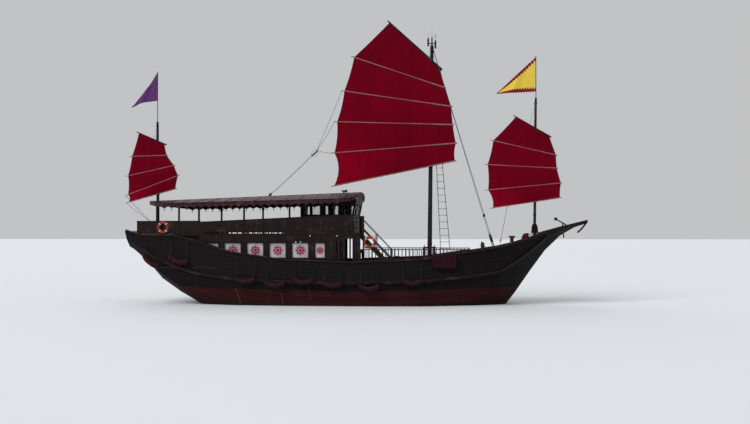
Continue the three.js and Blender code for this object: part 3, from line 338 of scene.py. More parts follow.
def hull_paint():
    finish = Finish("hull_paint", gloss=0.10)
    sweep = finish.x * finish.x * SHEER_SWEEP
    plank, seam = finish.boards(finish.z - sweep, PLANK, 0.016)
    butts = finish.boards(finish.x + plank * 7, PLANK_LENGTH, 0.012)[1]
    grain = finish.noise(9, (0.12, 1, 1), 5)
    blotch = finish.noise(0.9, (1, 1, 2.4), 4)
    line = (finish.z - abs(finish.x) * PAINT_SWEEP).rising(PAINT_LINE, PAINT_LINE + 0.035)
    black = finish.mix(plank * 0.6 + blotch * 0.4, tone(7, 6, 8), tone(22, 17, 19))
    brown = finish.mix(plank * 0.5 + blotch * 0.5, tone(36, 9, 12), tone(60, 18, 20))
    wet = (1 - finish.z.rising(0.03, 0.30)) * (0.45 + blotch)
    paint = finish.mix(wet * 0.55, finish.mix(line, brown, black), tone(28, 27, 20))
    runs = finish.noise(2.2, (3.2, 3.2, 0.22), 4).rising(0.56, 0.80)
    paint = finish.mix(runs * 0.22, paint, tone(70, 52, 48))
    paint = finish.mix(seam.greatest(butts) * 0.75, paint, tone(5, 4, 5))
    side = grain * 0.12 - seam * 1.0 - butts * 0.6 + plank * 0.5
    deck = hull_decks(finish)
    boards, _, _, height = wood(finish, **DECK)
    finish.paint(finish.mix(deck, paint, boards))
    finish.dull(0.52 + blotch * 0.22 + grain * 0.12)
    finish.relief(side * (1 - deck) + height * deck * 0.45, 0.014)
    return finish


finishes["hull"] = hull_paint()
print("nodes in the hull's paint:", len(finishes["hull"].tree.nodes))

# %% [markdown]
# ## Metal, rope and other plain finishes
#
# The small things need few finishes. Iron is black paint over a rough casting, bronze is brown in its
# hollows, and wire is grey with grease. The panels in the saloon's windows are pale. Rope is grey from the
# weather where it is bare, and nearly black where it is tarred. All of them mix a dark and a light tone by
# one noise, which also lifts and roughens the surface, so one function makes them.


# %% Plain finishes
def plain(name, dark, light, scale=6, dull=0.5, metallic=0.0, depth=0.003, stretch=(1, 1, 1), **sockets):
    finish = Finish(name, metallic=metallic, **sockets)
    coarse = finish.noise(scale, stretch, 5)
    fine = finish.noise(scale * 9, (1, 1, 1), 2)
    finish.paint(finish.mix(coarse.rising(0.32, 0.68), dark, light))
    finish.dull(dull + coarse * 0.2 - 0.1)
    finish.relief(coarse + fine * 0.25, depth)
    return finish


finishes["iron"] = plain("black_iron", tone(30, 24, 24), tone(52, 47, 48), dull=0.45, metallic=0.6)
finishes["bronze"] = plain("cast_bronze", tone(112, 80, 42), tone(176, 138, 82), dull=0.3, metallic=0.95)
finishes["wire"] = plain("greased_wire", tone(48, 50, 56), tone(92, 94, 100), scale=30, dull=0.4,
                         metallic=0.7)
finishes["rope"] = plain("weathered_rope", tone(62, 54, 50), tone(128, 116, 104), scale=40, dull=0.85,
                         depth=0.006)
finishes["dark_rope"] = plain("tarred_rope", tone(20, 18, 20), tone(46, 40, 42), scale=40, dull=0.8,
                              depth=0.006)
finishes["panel"] = plain("pale_panel", tone(158, 152, 154), tone(188, 181, 183), scale=1.4, depth=0.001)
finishes["rosette"] = plain("rosette_red", tone(104, 20, 50), tone(150, 34, 68), scale=9, dull=0.55)
finishes["lamp"] = plain("lamp_glass", tone(226, 214, 190), tone(246, 238, 220), scale=20, dull=0.2)
finishes["drape"] = plain("drape_cloth", tone(23, 2, 10), tone(44, 5, 18), scale=7, dull=0.85, depth=0.01,
                          stretch=(3, 3, 0.5))
finishes["floor"] = Finish("pale_floor", base_color=tone(206, 209, 212), roughness=0.9)
floor.data.materials.append(finishes["floor"].material)
print("finishes so far:", len(finishes))

# %% [markdown]
# ## Dressing the CAD pieces
#
# A CAD piece whose shape is right stays as it is and only changes its material. The table says which finish
# each one takes. A star stands for the port piece and the starboard piece.

# %% Finishes of the CAD pieces
DRESS = {
    "hull": ["hull", "bulwark*", "transom_board"],
    "house": ["saloon_side*", "saloon_front", "entrance_frame*", "upper_bulwark*", "wheelhouse",
              "helm_console", "poop_rail"],
    "rail": ["cap_rail*", "bow_rail*", "wale*", "balustrade*", "roof_posts*", "fife_rail"],
    "stair": ["stair"],
    "deck": ["upper_deck"],
    "roof": ["roof_canopy"],
    "door": ["saloon_door*", "wheelhouse_door", "boarding_gate", "helm_wheel", "windlass", "bow_bitts"],
    "mast": ["main_mast", "fore_mast", "mizzen_mast", "main_yard", "fore_yard", "mizzen_yard"],
    "bottom": ["keel", "rudder"],
    "bronze": ["propeller"],
    "iron": ["anchor"],
    "wire": ["forestay*"],
    "dark_rope": ["shroud_ladder"],
    "panel": ["saloon_windows*"],
}


def dress(node, finish):
    mesh = nodes[node].data
    if not mesh.materials:
        mesh.materials.append(None)
    for slot in nodes[node].material_slots:
        slot.material = finish.material


dressed = [(name.replace("*", side), finish) for finish, names in DRESS.items() for name in names
           for side in (("_port", "_starboard") if "*" in name else ("",))]
for node_name, finish_name in dressed:
    dress(node_name, finishes[finish_name])
print("CAD pieces dressed:", len(dressed))

# %% [markdown]
# ## Tools for making pieces
#
# Every new piece starts as a primitive at its place, is shaped, and is settled: its place, turn and scale
# go into its mesh, it takes its finish, and it rides on the body that carries it. Operators act on what is
# selected, so each tool clears the selection first.


# %% Selection, copies and settling
def clear():
    if bpy.context.object and bpy.context.object.mode != "OBJECT":
        bpy.ops.object.mode_set(mode="OBJECT")
    bpy.ops.object.select_all(action="DESELECT")


def pick(*pieces):
    clear()
    for piece in pieces:
        piece.select_set(True)
    bpy.context.view_layer.objects.active = pieces[0]
    return pieces[0]


def settle(piece):
    pick(piece)
    bpy.ops.object.transform_apply(location=True, rotation=True, scale=True)
    return piece


def stood(piece, place, way):
    """The piece moved to its place, with its own Z turned along way."""
    piece.rotation_mode = "QUATERNION"
    piece.rotation_quaternion = Vector(way).to_track_quat("Z", "Y")
    piece.location = place
    return settle(piece)


def joined(pieces):
    pick(*pieces)
    if len(pieces) > 1:
        bpy.ops.object.join()
    return settle(bpy.context.object)


def copied(piece, matrix):
    """A copy with its own mesh, moved by a matrix from where the first one lies."""
    twin = piece.copy()
    twin.data = piece.data.copy()
    bpy.context.scene.collection.objects.link(twin)
    twin.data.transform(matrix @ twin.matrix_world)
    twin.matrix_world = Matrix.Identity(4)
    return twin


def removed(piece):
    pick(piece)
    bpy.ops.object.delete()


def copies(first, places):
    """Copies of a piece, moved by each of the places. The first piece goes."""
    made = [copied(first, Matrix.Translation(place)) for place in places]
    removed(first)
    return made


def modified(piece, kind, **settings):
    """The piece with one modifier applied."""
    pick(piece)
    bpy.ops.object.modifier_add(type=kind)
    modifier = piece.modifiers[-1]
    for key, value in settings.items():
        setattr(modifier, key, value)
    bpy.ops.object.modifier_apply(modifier=modifier.name)
    return piece


def on_all(work, **settings):
    """Run one edit mode operator on everything in the active piece."""
    bpy.ops.object.mode_set(mode="EDIT")
    bpy.ops.mesh.select_all(action="SELECT")
    work(**settings)
    bpy.ops.object.mode_set(mode="OBJECT")
    return settle(bpy.context.object)


def finished(piece, name, finish, smooth=None):
    settle(piece)
    if smooth is not None:
        bpy.ops.object.shade_smooth_by_angle(angle=math.radians(smooth))
    piece.name = piece.data.name = name
    piece.data.materials.clear()
    piece.data.materials.append(finishes[finish].material)
    return piece


def done(piece, name, finish, body="ship", slot=None, smooth=None):
    """The finished piece, riding on its body. The slot is not used."""
    finished(piece, name, finish, smooth)
    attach(piece, body)
    return piece


# %% Rope, poles, rings, bars and cloth
def rope(points, radius):
    """A curve through the points, given its thickness and made a mesh."""
    clear()
    bpy.ops.curve.primitive_nurbs_path_add()
    curve = bpy.context.object
    curve.data.splines.clear()
    line = curve.data.splines.new("POLY")
    line.points.add(len(points) - 1)
    for point, place in zip(line.points, points):
        point.co = (*place, 1)
    curve.data.bevel_depth = radius
    curve.data.bevel_resolution = 1
    curve.data.use_fill_caps = True
    bpy.ops.object.convert(target="MESH")
    return bpy.context.object


def pole(start, end, radius, tip, sides=10):
    """A tapered round pole with softened ends, from start to end."""
    start, end = Vector(start), Vector(end)
    clear()
    bpy.ops.mesh.primitive_cylinder_add(vertices=sides, radius=radius, depth=(end - start).length)
    piece = bpy.context.object
    for vertex in piece.data.vertices:
        if vertex.co.z > 0:
            vertex.co.xy *= tip / radius
    modified(piece, "BEVEL", width=min(radius, tip) * 0.3, segments=1)
    return stood(piece, (start + end) / 2, end - start)


def ring(centre, normal, radius, thickness, around=16, sides=6):
    clear()
    bpy.ops.mesh.primitive_torus_add(major_radius=radius, minor_radius=thickness, major_segments=around,
                                     minor_segments=sides)
    return stood(bpy.context.object, centre, normal)


def bar(corner, other, bevel=0.006):
    """A square bar with softened edges between two corners."""
    lows, highs = Vector(map(min, corner, other)), Vector(map(max, corner, other))
    clear()
    bpy.ops.mesh.primitive_cube_add(size=1, location=(lows + highs) / 2, scale=highs - lows)
    return modified(settle(bpy.context.object), "BEVEL", width=bevel, segments=1)


def grid(columns, rows, place):
    """A sheet with its UV map. place turns the share across and the share down into a point."""
    clear()
    bpy.ops.mesh.primitive_grid_add(x_subdivisions=columns, y_subdivisions=rows, size=1, calc_uvs=True)
    cloth = bpy.context.object
    for vertex in cloth.data.vertices:
        vertex.co = place(vertex.co.x + 0.5, 0.5 - vertex.co.y)
    return cloth


def thickened(cloth, thickness=0.004, offset=-1):
    """Give a sheet its thickness, and return the area it had as a sheet."""
    area = sum(face.area for face in cloth.data.polygons)
    modified(cloth, "SOLIDIFY", thickness=thickness, offset=offset)
    return area


# %% Reading lines of corners and CAD surfaces
def extent(values):
    return max(values) - min(values)


def read_off(line, x):
    """The value at x on a line of (x, value) corners, which run forward."""
    for (x0, value0), (x1, value1) in zip(line, line[1:]):
        if x <= x1:
            return value0 + (value1 - value0) * (x - x0) / (x1 - x0)
    return line[-1][1]


def struck(node, start, way):
    """Where a line from start first meets a CAD piece, or None."""
    hit, point, _, _ = nodes[node].ray_cast(Vector(start), Vector(way))
    return point if hit else None


def side_at(x, z):
    """Half breadth of the hull, where a line from abroad first meets it."""
    point = struck("hull", (x, -9, z), (0, 1, 0))
    return 3.3 if point is None else -point.y


def roof_at(x, y=0.0):
    return struck("roof_canopy", (x, y, 9), (0, 0, -1)).z


print("half breadth amidships:", round(side_at(0, 2.4), 3), "roof over the water:", round(roof_at(-5), 3))


# %% [markdown]
# ## Sails
#
# A junk's sail is flat cloth stretched between battens. Between two battens its edges hollow a little, and
# the cloth hangs away from the mast in a shallow belly. Each sail is one grid, laid on the same table of
# spars as the solid it replaces, panel by panel, so its UV map runs along the battens and down the sail.
# The seams of the cloths, the stains and a patch of painted light at the upper aft corner follow that map.

# %% The sails' measures
# Spars from the head down: x and height of the after end, x and height of the fore end.
SPARS = {
    "main": [(2.05, 16.99, 5.09, 14.18), (-0.11, 14.92, 5.36, 13.01), (-0.71, 12.87, 5.75, 11.87),
             (-1.15, 11.00, 5.85, 10.76), (-1.31, 9.11, 6.03, 9.64), (-1.33, 7.10, 5.97, 8.57)],
    "fore": [(9.64, 11.20, 11.59, 10.04), (8.29, 9.79, 11.99, 8.90), (7.95, 8.35, 12.04, 8.11),
             (7.98, 6.82, 12.28, 7.22), (8.26, 5.74, 12.22, 6.34)],
    "mizzen": [(-13.53, 10.43, -11.94, 9.74), (-13.96, 8.98, -11.79, 9.03), (-14.20, 7.78, -11.33, 8.40),
               (-14.20, 6.61, -11.07, 7.77), (-14.17, 6.14, -11.23, 6.95)],
}
OFFSET = {"main": 0.225, "fore": 0.155, "mizzen": 0.160}
BATTEN = {"main": 0.042, "fore": 0.032, "mizzen": 0.030}
BELLY = {"main": 0.10, "fore": 0.07, "mizzen": 0.05}
HOLLOW = {"main": (0.03, 0.05, 0.06, 0.08, 0.26), "fore": (0.03, 0.04, 0.05, 0.12),
          "mizzen": (0.03, 0.03, 0.05, 0.10)}
ACROSS, DOWN, EDGE_STEPS = 26, 7, 6
AFT_END, FORE_END = 0.20, 0.10
SAIL_THICKNESS, LASHING_SPACE = 0.005, 0.72
print("battens:", sum(len(rows) - 1 for rows in SPARS.values()))


# %% Sailcloth finish
def sailcloth():
    finish = Finish("sailcloth", gloss=0.03)
    across, up = finish.on_cloth()
    cloth, seam = finish.boards(across * 7.3, 0.91, 0.016)
    panel = finish.chance((up * 5).floor())
    blotch = finish.noise(0.55, (1, 1, 0.8), 5)
    runs = finish.noise(1.5, (2.6, 2.6, 0.25), 4)
    red = finish.mix(blotch * 0.6 + cloth * 0.2 + panel * 0.2, tone(84, 0, 18), tone(110, 0, 24))
    # Painted light: the upper aft corner of the sail is painted a brighter red, standing in for light shining
    # through the cloth.
    painted_backlight = (1 - across.rising(0.0, 0.55)) * (1 - up.rising(0.0, 0.5))
    red = finish.mix(painted_backlight * 0.6, red, tone(142, 0, 26))
    red = finish.mix(runs.rising(0.5, 0.8) * 0.35, red, tone(66, 2, 20))
    finish.paint(finish.mix(seam * 0.4, red, tone(56, 2, 16)))
    weave = (finish.x * 420).sine() * (finish.z * 420).sine()
    finish.dull(0.78 + blotch * 0.1)
    finish.relief(seam * 0.8 + weave * 0.08 + runs * 1.2 + blotch * 2.0, 0.012)
    return finish


finishes["sail"] = sailcloth()
print("nodes in the sailcloth:", len(finishes["sail"].tree.nodes))


# %% One sail's cloth and its edge rope
def spar_ends(name, row):
    """The aft and the fore end of the sail's edge along one of its spars."""
    aft_x, aft_z, fore_x, fore_z = row
    return Vector((aft_x, -OFFSET[name], aft_z)), Vector((fore_x, -OFFSET[name], fore_z))


def place_on_sail(name, across, level):
    """A point of the cloth: across from 0 aft to 1 fore, level counted in panels from the head."""
    rows = SPARS[name]
    panel = min(int(level), len(rows) - 2)
    down = level - panel
    row = [high * (1 - down) + low * down for high, low in zip(rows[panel], rows[panel + 1])]
    aft, fore = spar_ends(name, row)
    hollow = 4 * down * (1 - down)
    aft.x += HOLLOW[name][panel] * hollow
    fore.x -= HOLLOW[name][panel] * hollow * 0.25
    point = aft.lerp(fore, across)
    ripple = 0.25 * math.sin(9 * across + 2.3 * level) * hollow
    point.y = -OFFSET[name] - BELLY[name] * math.sin(math.pi * across) * (0.25 + 0.6 * hollow + ripple * 0.4)
    return point


def sail_cloth(name):
    panels = len(SPARS[name]) - 1
    cloth = grid(ACROSS, panels * DOWN, lambda across, down: place_on_sail(name, across, down * panels))
    return cloth, thickened(cloth, SAIL_THICKNESS, offset=0)


def edge_rope(name):
    panels = len(SPARS[name]) - 1
    levels = [step / EDGE_STEPS for step in range(EDGE_STEPS * panels + 1)]
    aft = [place_on_sail(name, 0, level) for level in levels]
    fore = [place_on_sail(name, 1, level) for level in reversed(levels)]
    return rope([*aft, *fore, aft[0]], 0.013)


print("head of the main sail:", [round(value, 2) for value in place_on_sail("main", 0, 0)])


# %% One sail's battens and lashings
def battens(name):
    poles = []
    for row in SPARS[name][1:]:
        aft, fore = spar_ends(name, row)
        way = (fore - aft).normalized()
        poles.append(pole(fore + way * FORE_END, aft - way * AFT_END, BATTEN[name], BATTEN[name] * 0.75))
    return joined(poles)


def lashings(name):
    loops = []
    for row in SPARS[name]:
        aft, fore = spar_ends(name, row)
        count = round((fore - aft).length / LASHING_SPACE)
        first = ring(aft, fore - aft, BATTEN[name] + 0.006, 0.009, around=10, sides=4)
        loops += copies(first, [(fore - aft) * ((step + 0.5) / count) for step in range(count)])
    return joined(loops)


print("the main boom is", round(extent([SPARS["main"][-1][0], SPARS["main"][-1][2]]), 2), "m long")

# %% Masts and parrels
MASTS = {
    "main": {"foot": (4.435, 2.2), "head": (4.600, 15.6), "radius": (0.145, 0.100)},
    "fore": {"foot": (10.727, 3.79), "head": (10.830, 12.35), "radius": (0.090, 0.065)},
    "mizzen": {"foot": (-12.355, 4.18), "head": (-12.410, 11.12), "radius": (0.100, 0.070)},
}
PARRELS = {"main": (1, 3, 5), "fore": (1, 4), "mizzen": (1, 4)}


def mast_at(name, height):
    """The x of a mast's middle and its radius, at a height."""
    (foot_x, foot_z), (head_x, head_z) = MASTS[name]["foot"], MASTS[name]["head"]
    low, high = MASTS[name]["radius"]
    share = (height - foot_z) / (head_z - foot_z)
    return foot_x + (head_x - foot_x) * share, low + (high - low) * share


def parrels(name):
    parts = []
    for index in PARRELS[name]:
        aft_x, aft_z, fore_x, fore_z = SPARS[name][index]
        x = mast_at(name, (aft_z + fore_z) / 2)[0]
        z = aft_z + (fore_z - aft_z) * (x - aft_x) / (fore_x - aft_x)
        x, radius = mast_at(name, z)
        for lift in (-0.018, 0.004):
            parts.append(ring((x, 0, z + lift), (0, 0, 1), radius + 0.024, 0.0125, around=18, sides=5))
        parts.append(pole((x, -radius - 0.02, z), (x, -OFFSET[name], z), 0.03, 0.03, sides=8))
    return joined(parts)


print("main mast's radius at the deck:", round(mast_at("main", 2.2)[1], 3))


# %% The three sails
def flat_size(name):
    rows = SPARS[name]
    xs, zs = ([value for row in rows for value in row[first::2]] for first in (0, 1))
    return extent(xs), extent(zs)


for sail in SPARS:
    body = f"{sail}_sail"
    cloth, area = sail_cloth(sail)
    done(cloth, f"{sail}_cloth", "sail", body, "sailcloth", smooth=40)
    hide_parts(f"{sail}_sail")
    edging = done(edge_rope(sail), f"{sail}_edge_rope", "dark_rope", body, "sailcloth", smooth=60)
    done(battens(sail), f"{sail}_battens", "pole", body, "pale_wood", smooth=40)
    done(lashings(sail), f"{sail}_lashings", "rope", body, "sailcloth", smooth=60)
    done(parrels(sail), f"{sail}_parrels", "dark_rope", body, "sailcloth", smooth=60)
    flat_size(sail)
    print(sail, "sail:", round(area, 1), "square metres")

# %% [markdown]
# ## Flags
#
# Both flags stream aft. Each is a grid drawn between two lines, the upper and the lower edge, and waved
# across the wind more and more towards its tip. The yellow flag has a dark red border cut in flame shapes,
# so its UV map tells how far a point lies from the edges. The purple pennant's tail is worn.

# %% Flag cloth
# The corners of the upper and the lower edge, from the mast aft: x and height.
FLAGS = {
    "fore": {"upper": [(10.8157, 14.82), (8.45, 12.62)], "lower": [(10.8157, 12.71), (8.45, 12.62)],
             "wave": 0.10, "teeth": 15},
    "mizzen": {"upper": [(-12.4343, 14.17), (-12.92, 13.40), (-13.56, 12.64), (-14.10, 12.01)],
               "lower": [(-12.4343, 12.43), (-13.30, 12.33), (-14.10, 12.01)], "wave": 0.09, "teeth": 0},
}
TOOTH = 0.07
SLOT_OF_FLAG = {"fore": "yellow_cloth", "mizzen": "purple_cloth"}


def along(line, share):
    """A point of a line of corners, at a share of its run from the first corner to the last."""
    x = line[0][0] + (line[-1][0] - line[0][0]) * share
    for (x0, z0), (x1, z1) in zip(line, line[1:]):
        if x >= x1 - 1e-9:
            return x, z0 + (z1 - z0) * (x - x0) / (x1 - x0)
    return line[-1]


def place_on_flag(flag, share, down):
    rise, run = 1 - down, share * 0.985
    x, top = along(flag["upper"], run)
    bottom = along(flag["lower"], run)[1]
    tooth = abs((run * flag["teeth"]) % 1 - 0.5) * 2 * TOOTH * (1 - run) if flag["teeth"] else 0
    z = bottom + (top - bottom) * rise
    if rise > 0.97:
        z -= tooth
    elif rise < 0.03:
        z += tooth * 0.6
    droop = math.sin(7.5 * share + 2.2 * rise) + 0.4 * math.sin(17 * share + 5 * rise)
    return x, flag["wave"] * share * droop, z


def flag_cloth(name, columns=60, rows=16):
    cloth = grid(columns, rows, lambda share, down: place_on_flag(FLAGS[name], share, down))
    return cloth, thickened(cloth)


def flag_finish(name, cloth, worn, border=None):
    finish = Finish(name)
    run, rise = finish.on_cloth()
    fold = finish.noise(3.5, (1, 1, 0.5), 4)
    colour = finish.mix(fold, cloth, worn)
    if border:
        edge = 0.5 - abs(rise - 0.5)
        flame = 0.06 + abs((run * 15).fract() - 0.5) * 0.16 + run * 0.22
        colour = finish.mix((edge - flame).rising(-0.01, 0.01), border, colour)
    finish.paint(colour)
    finish.dull(0.75 + fold * 0.1)
    weave = (finish.x * 700).sine() * (finish.z * 700).sine()
    finish.relief(fold * 1.5 + weave * 0.1, 0.01)
    return finish


finishes["fore_flag"] = flag_finish("yellow_cloth", tone(224, 194, 62), tone(196, 168, 70), tone(112, 18, 28))
finishes["mizzen_flag"] = flag_finish("purple_cloth", tone(70, 34, 86), tone(96, 56, 110))
for flag in FLAGS:
    cloth, area = flag_cloth(flag)
    done(cloth, f"{flag}_flag_cloth", f"{flag}_flag", "ship", SLOT_OF_FLAG[flag], smooth=60)
    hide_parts(f"{flag}_flag")
    corners = [*FLAGS[flag]["upper"], *FLAGS[flag]["lower"]]
    wide, tall = extent([x for x, z in corners]), extent([z for x, z in corners])
    wide * 1.04
    tall * 1.04
    print(flag, "flag:", round(wide, 2), "by", round(tall, 2), "m")

# %% [markdown]
# ## Fenders
#
# Each side carries eight air-filled fenders in dark red sleeves, slung from a rope that runs under the
# rail. A sleeve is a round bag, drawn in at its ends and where its two ropes bite. The cloth simulation
# blows one up, with the ends and the two rope rings held, so its skin gets its own creases. The rest are
# copies of it.

# %% Where the fenders hang
# The sheer: x and height of the rail's foot. A fender: x and height of its middle, its tilt in degrees, and
# how far its middle stands off the side.
SHEER = [(-13.45, 4.36), (-12.6, 4.06), (-10.4, 4.06), (-9.0, 3.72), (-7.0, 3.08), (-4.0, 2.66), (0.0, 2.50),
         (4.0, 2.66), (7.0, 3.12), (8.6, 3.38), (10.46, 3.90), (12.24, 4.52), (13.86, 4.93)]
STEEP, SLOPING, LEVEL = (37, 0.490), (16, 0.330), (0, 0.295)
FENDERS = [(-11.88, 2.56, *STEEP), (-10.12, 2.65, *SLOPING), (-6.09, 1.52, *LEVEL), (-4.33, 1.30, *LEVEL),
           (-2.67, 1.48, *LEVEL), (-0.98, 1.31, *LEVEL), (1.12, 1.13, *LEVEL), (3.59, 1.45, *LEVEL)]
JACK_XS = [-12.5, -11.6, -10.4, -9.0, -7.0, -4.0, 0.0, 4.0, 4.3]
FENDER_REACH, FENDER_RADIUS, FENDER_RING = 0.64, 0.20, 0.47
RING_SHARE = FENDER_RING / FENDER_REACH
ROPE_GRIP, JACK_DROP = FENDER_RADIUS * 0.88, 0.06


def sheer_at(x):
    return read_off(SHEER, x)


print("sheer amidships:", round(sheer_at(0), 2))


# %% Blow up one sleeve
PRESSURE = {"quality": 6, "mass": 0.5, "use_pressure": True, "uniform_pressure_force": 9,
            "tension_stiffness": 30, "compression_stiffness": 30, "bending_stiffness": 0.6,
            "shrink_min": -0.05, "vertex_group_mass": "held"}
BLOWN_AT = 18
SLACK, TAPER, BITE_DEPTH, BITE_WIDTH, HELD_FROM = 0.86, 0.12, 0.12, 0.03, 0.93


def sleeve():
    clear()
    bpy.ops.mesh.primitive_uv_sphere_add(segments=28, ring_count=40, radius=1, rotation=(0, math.pi / 2, 0))
    bag = settle(bpy.context.object)
    held = bag.vertex_groups.new(name="held")
    for vertex in bag.data.vertices:
        share = math.asin(max(-1, min(1, vertex.co.x))) / (math.pi / 2)
        round_part = Vector((0, vertex.co.y, vertex.co.z))
        way = round_part.normalized() if round_part.length > 1e-6 else Vector((0, 0, 0))
        width = min(1, (1 - abs(share)) / TAPER) ** 0.6
        from_ring = abs(share) - RING_SHARE
        bite = BITE_DEPTH * math.exp(-(from_ring / BITE_WIDTH) ** 2)
        vertex.co = way * FENDER_RADIUS * SLACK * (width - bite)
        vertex.co.x = share * FENDER_REACH
        if abs(share) > HELD_FROM or abs(from_ring) < 0.02:
            held.add([vertex.index], 1, "REPLACE")
    bpy.ops.object.modifier_add(type="CLOTH")
    for key, value in PRESSURE.items():
        setattr(bag.modifiers[-1].settings, key, value)
    for step in range(BLOWN_AT):
        bpy.context.scene.frame_set(step + 1)
    bpy.ops.object.modifier_apply(modifier=bag.modifiers[-1].name)
    bpy.context.scene.frame_set(1)
    reach = max(abs(vertex.co.x) for vertex in bag.data.vertices)
    radius = max(math.hypot(vertex.co.y, vertex.co.z) for vertex in bag.data.vertices)
    print("sleeve after the simulation: half length", round(reach, 3), "radius", round(radius, 3))
    for vertex in bag.data.vertices:
        vertex.co.x *= FENDER_REACH / reach
        vertex.co.yz *= FENDER_RADIUS / radius
        vertex.co.z += 0.10 * (vertex.co.x / FENDER_REACH) ** 2 - 0.04
    return bag


def sleeve_finish():
    finish = Finish("fender_sleeve")
    wear = finish.noise(3.2, (1, 1, 1), 5)
    creases = finish.noise(22, (0.35, 1, 1), 3)
    low = 1 - finish.z.rising(0.9, 2.6)
    red = finish.mix(wear, tone(30, 3, 12), tone(54, 7, 21))
    finish.paint(finish.mix(low * wear * 0.8, red, tone(28, 12, 15)))
    finish.dull(0.55 + wear * 0.25)
    finish.relief(creases + wear, 0.012)
    return finish


finishes["fender"] = sleeve_finish()


# %% Hang the fenders on both sides
def hang(bag, side, name):
    jack = [(x, side * (side_at(x, sheer_at(x) - 0.1) + 0.018), sheer_at(x) - JACK_DROP) for x in JACK_XS]
    sleeves, lines = [], [rope(jack, 0.020)]
    for x, z, tilt, out in FENDERS:
        centre = Vector((x, side * (side_at(x, z) + out), z))
        turn = Matrix.Translation(centre) @ Matrix.Rotation(math.radians(tilt), 4, "Y")
        sleeves.append(copied(bag, turn))
        for end in (-1, 1):
            low = turn @ Vector((end * FENDER_RING, 0, 0.02))
            across = turn.to_3x3() @ Vector((1, 0, 0))
            x = low.x + end * 0.10
            z = sheer_at(x) - JACK_DROP
            top = (x, side * (side_at(x, z - 0.04) + 0.03), z)
            lines += [ring(low, across, ROPE_GRIP, 0.014, around=20, sides=5),
                      rope([low + Vector((0, 0, ROPE_GRIP)), top], 0.014),
                      ring(top, (1, 0, 0.05), 0.030, 0.012, around=10, sides=4)]
    skin = done(joined(sleeves), f"fender_sleeves_{name}", "fender", slot="fender_skin", smooth=60)
    done(joined(lines), f"fender_ropes_{name}", "dark_rope", smooth=60)
    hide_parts(f"fenders_{name}")


bag = sleeve()
for side, name in ((-1, "starboard"), (1, "port")):
    hang(bag, side, name)
removed(bag)
print("fenders on each side:", len(FENDERS))

# %% [markdown]
# ## Saloon windows
#
# Behind each saloon window hangs a pale panel with a red rosette. The rosette is a plain flower of eight
# round petals, cut out and glued on. Around each opening there is a casing with a sill below it, and a thin
# sash stands inside it, before the panel.

# %% Rosettes, frames and sills
# A window: its middle's x and its width.
WINDOWS = [(-8.31, 1.03), (-6.97, 1.03), (-5.635, 1.03), (-4.305, 1.03), (-2.975, 1.03), (-1.81, 0.64)]
WINDOW_LOW, WINDOW_HIGH, WINDOW_MIDDLE = 2.75, 3.70, 3.225
WALL_FACE, PANEL_FACE = 3.05, 2.9497
CASING, SILL, INSIDE = (-0.028, 0), (-0.06, 0), (0.010, 0.045)
ACROSS_SHIP = Matrix.Scale(-1, 4, Vector((0, 1, 0)))


def rosette(radius):
    """A flower of flat petals around a raised eye, facing -Y at the origin."""
    clear()
    bpy.ops.mesh.primitive_cylinder_add(vertices=14, radius=radius * 0.235, depth=0.006,
                                        location=(0, 0, radius * 0.63), rotation=(math.pi / 2, 0, 0))
    petal = settle(bpy.context.object)
    petals = [copied(petal, Matrix.Rotation(step * math.pi / 4, 4, "Y")) for step in range(8)]
    removed(petal)
    bpy.ops.mesh.primitive_cylinder_add(vertices=20, radius=radius * 0.34, depth=0.008,
                                        rotation=(math.pi / 2, 0, 0))
    eye = on_all(bpy.ops.mesh.bevel, offset=0.002, segments=1, affect="EDGES")
    rim = ring((0, 0, 0), (0, 1, 0), radius * 0.94, 0.010, around=28, sides=5)
    return joined([*petals, eye, rim])


def window_frame(middle, width):
    """The casing round an opening, the sill under it and the sash inside it, on the starboard face."""
    low, high, left, right = WINDOW_LOW, WINDOW_HIGH, middle - width / 2, middle + width / 2
    spans = [(left - 0.06, high, right + 0.06, high + 0.07, CASING),
             (left - 0.06, low - 0.02, left, high, CASING),
             (right, low - 0.02, right + 0.06, high, CASING),
             (left - 0.09, low - 0.07, right + 0.09, low - 0.01, SILL),
             (left, high - 0.055, right, high, INSIDE),
             (left, low, right, low + 0.055, INSIDE),
             (left, low + 0.05, left + 0.045, high - 0.05, INSIDE),
             (right - 0.045, low + 0.05, right, high - 0.05, INSIDE)]
    return [bar((x0, out - WALL_FACE, z0), (x1, back - WALL_FACE, z1))
            for x0, z0, x1, z1, (out, back) in spans]


def both(piece, name, finish, **more):
    """The starboard piece and its mirrored copy to port, whose faces are turned out again."""
    twin = copied(piece, ACROSS_SHIP)
    pick(twin)
    on_all(bpy.ops.mesh.flip_normals)
    done(piece, f"{name}_starboard", finish, **more)
    done(twin, f"{name}_port", finish, **more)


flowers = []
for radius, windows in ((0.30, WINDOWS[1:-1]), (0.22, WINDOWS[-1:])):
    places = [(middle, -PANEL_FACE - 0.004, WINDOW_MIDDLE) for middle, width in windows]
    flowers += copies(rosette(radius), places)
both(joined(flowers), "window_rosettes", "rosette", smooth=30)
casings = [part for middle, width in WINDOWS for part in window_frame(middle, width)]
both(joined(casings), "window_frames", "rail")
print("rosettes on each side:", len(WINDOWS) - 1)

# %% [markdown]
# ## Running rigging
#
# A junk's sheet pulls on every batten at once. Thin sheetlets lead from the battens' after ends through a
# long wooden block, and its purchase goes down to the deck or the roof. These ropes join a turning sail to
# the ship. The topping lifts hang beside the sail and turn with it.

# %% Points on the rig
def batten_tip(name, row):
    aft, fore = spar_ends(name, SPARS[name][row])
    return aft - (fore - aft).normalized() * AFT_END * 0.8


def hanging(start, end, sag, steps=10):
    """Points from start to end on a curve that hangs by sag at its middle."""
    start, end = Vector(start), Vector(end)
    shares = [step / steps for step in range(steps + 1)]
    return [start.lerp(end, share) - Vector((0, 0, 4 * sag * share * (1 - share))) for share in shares]


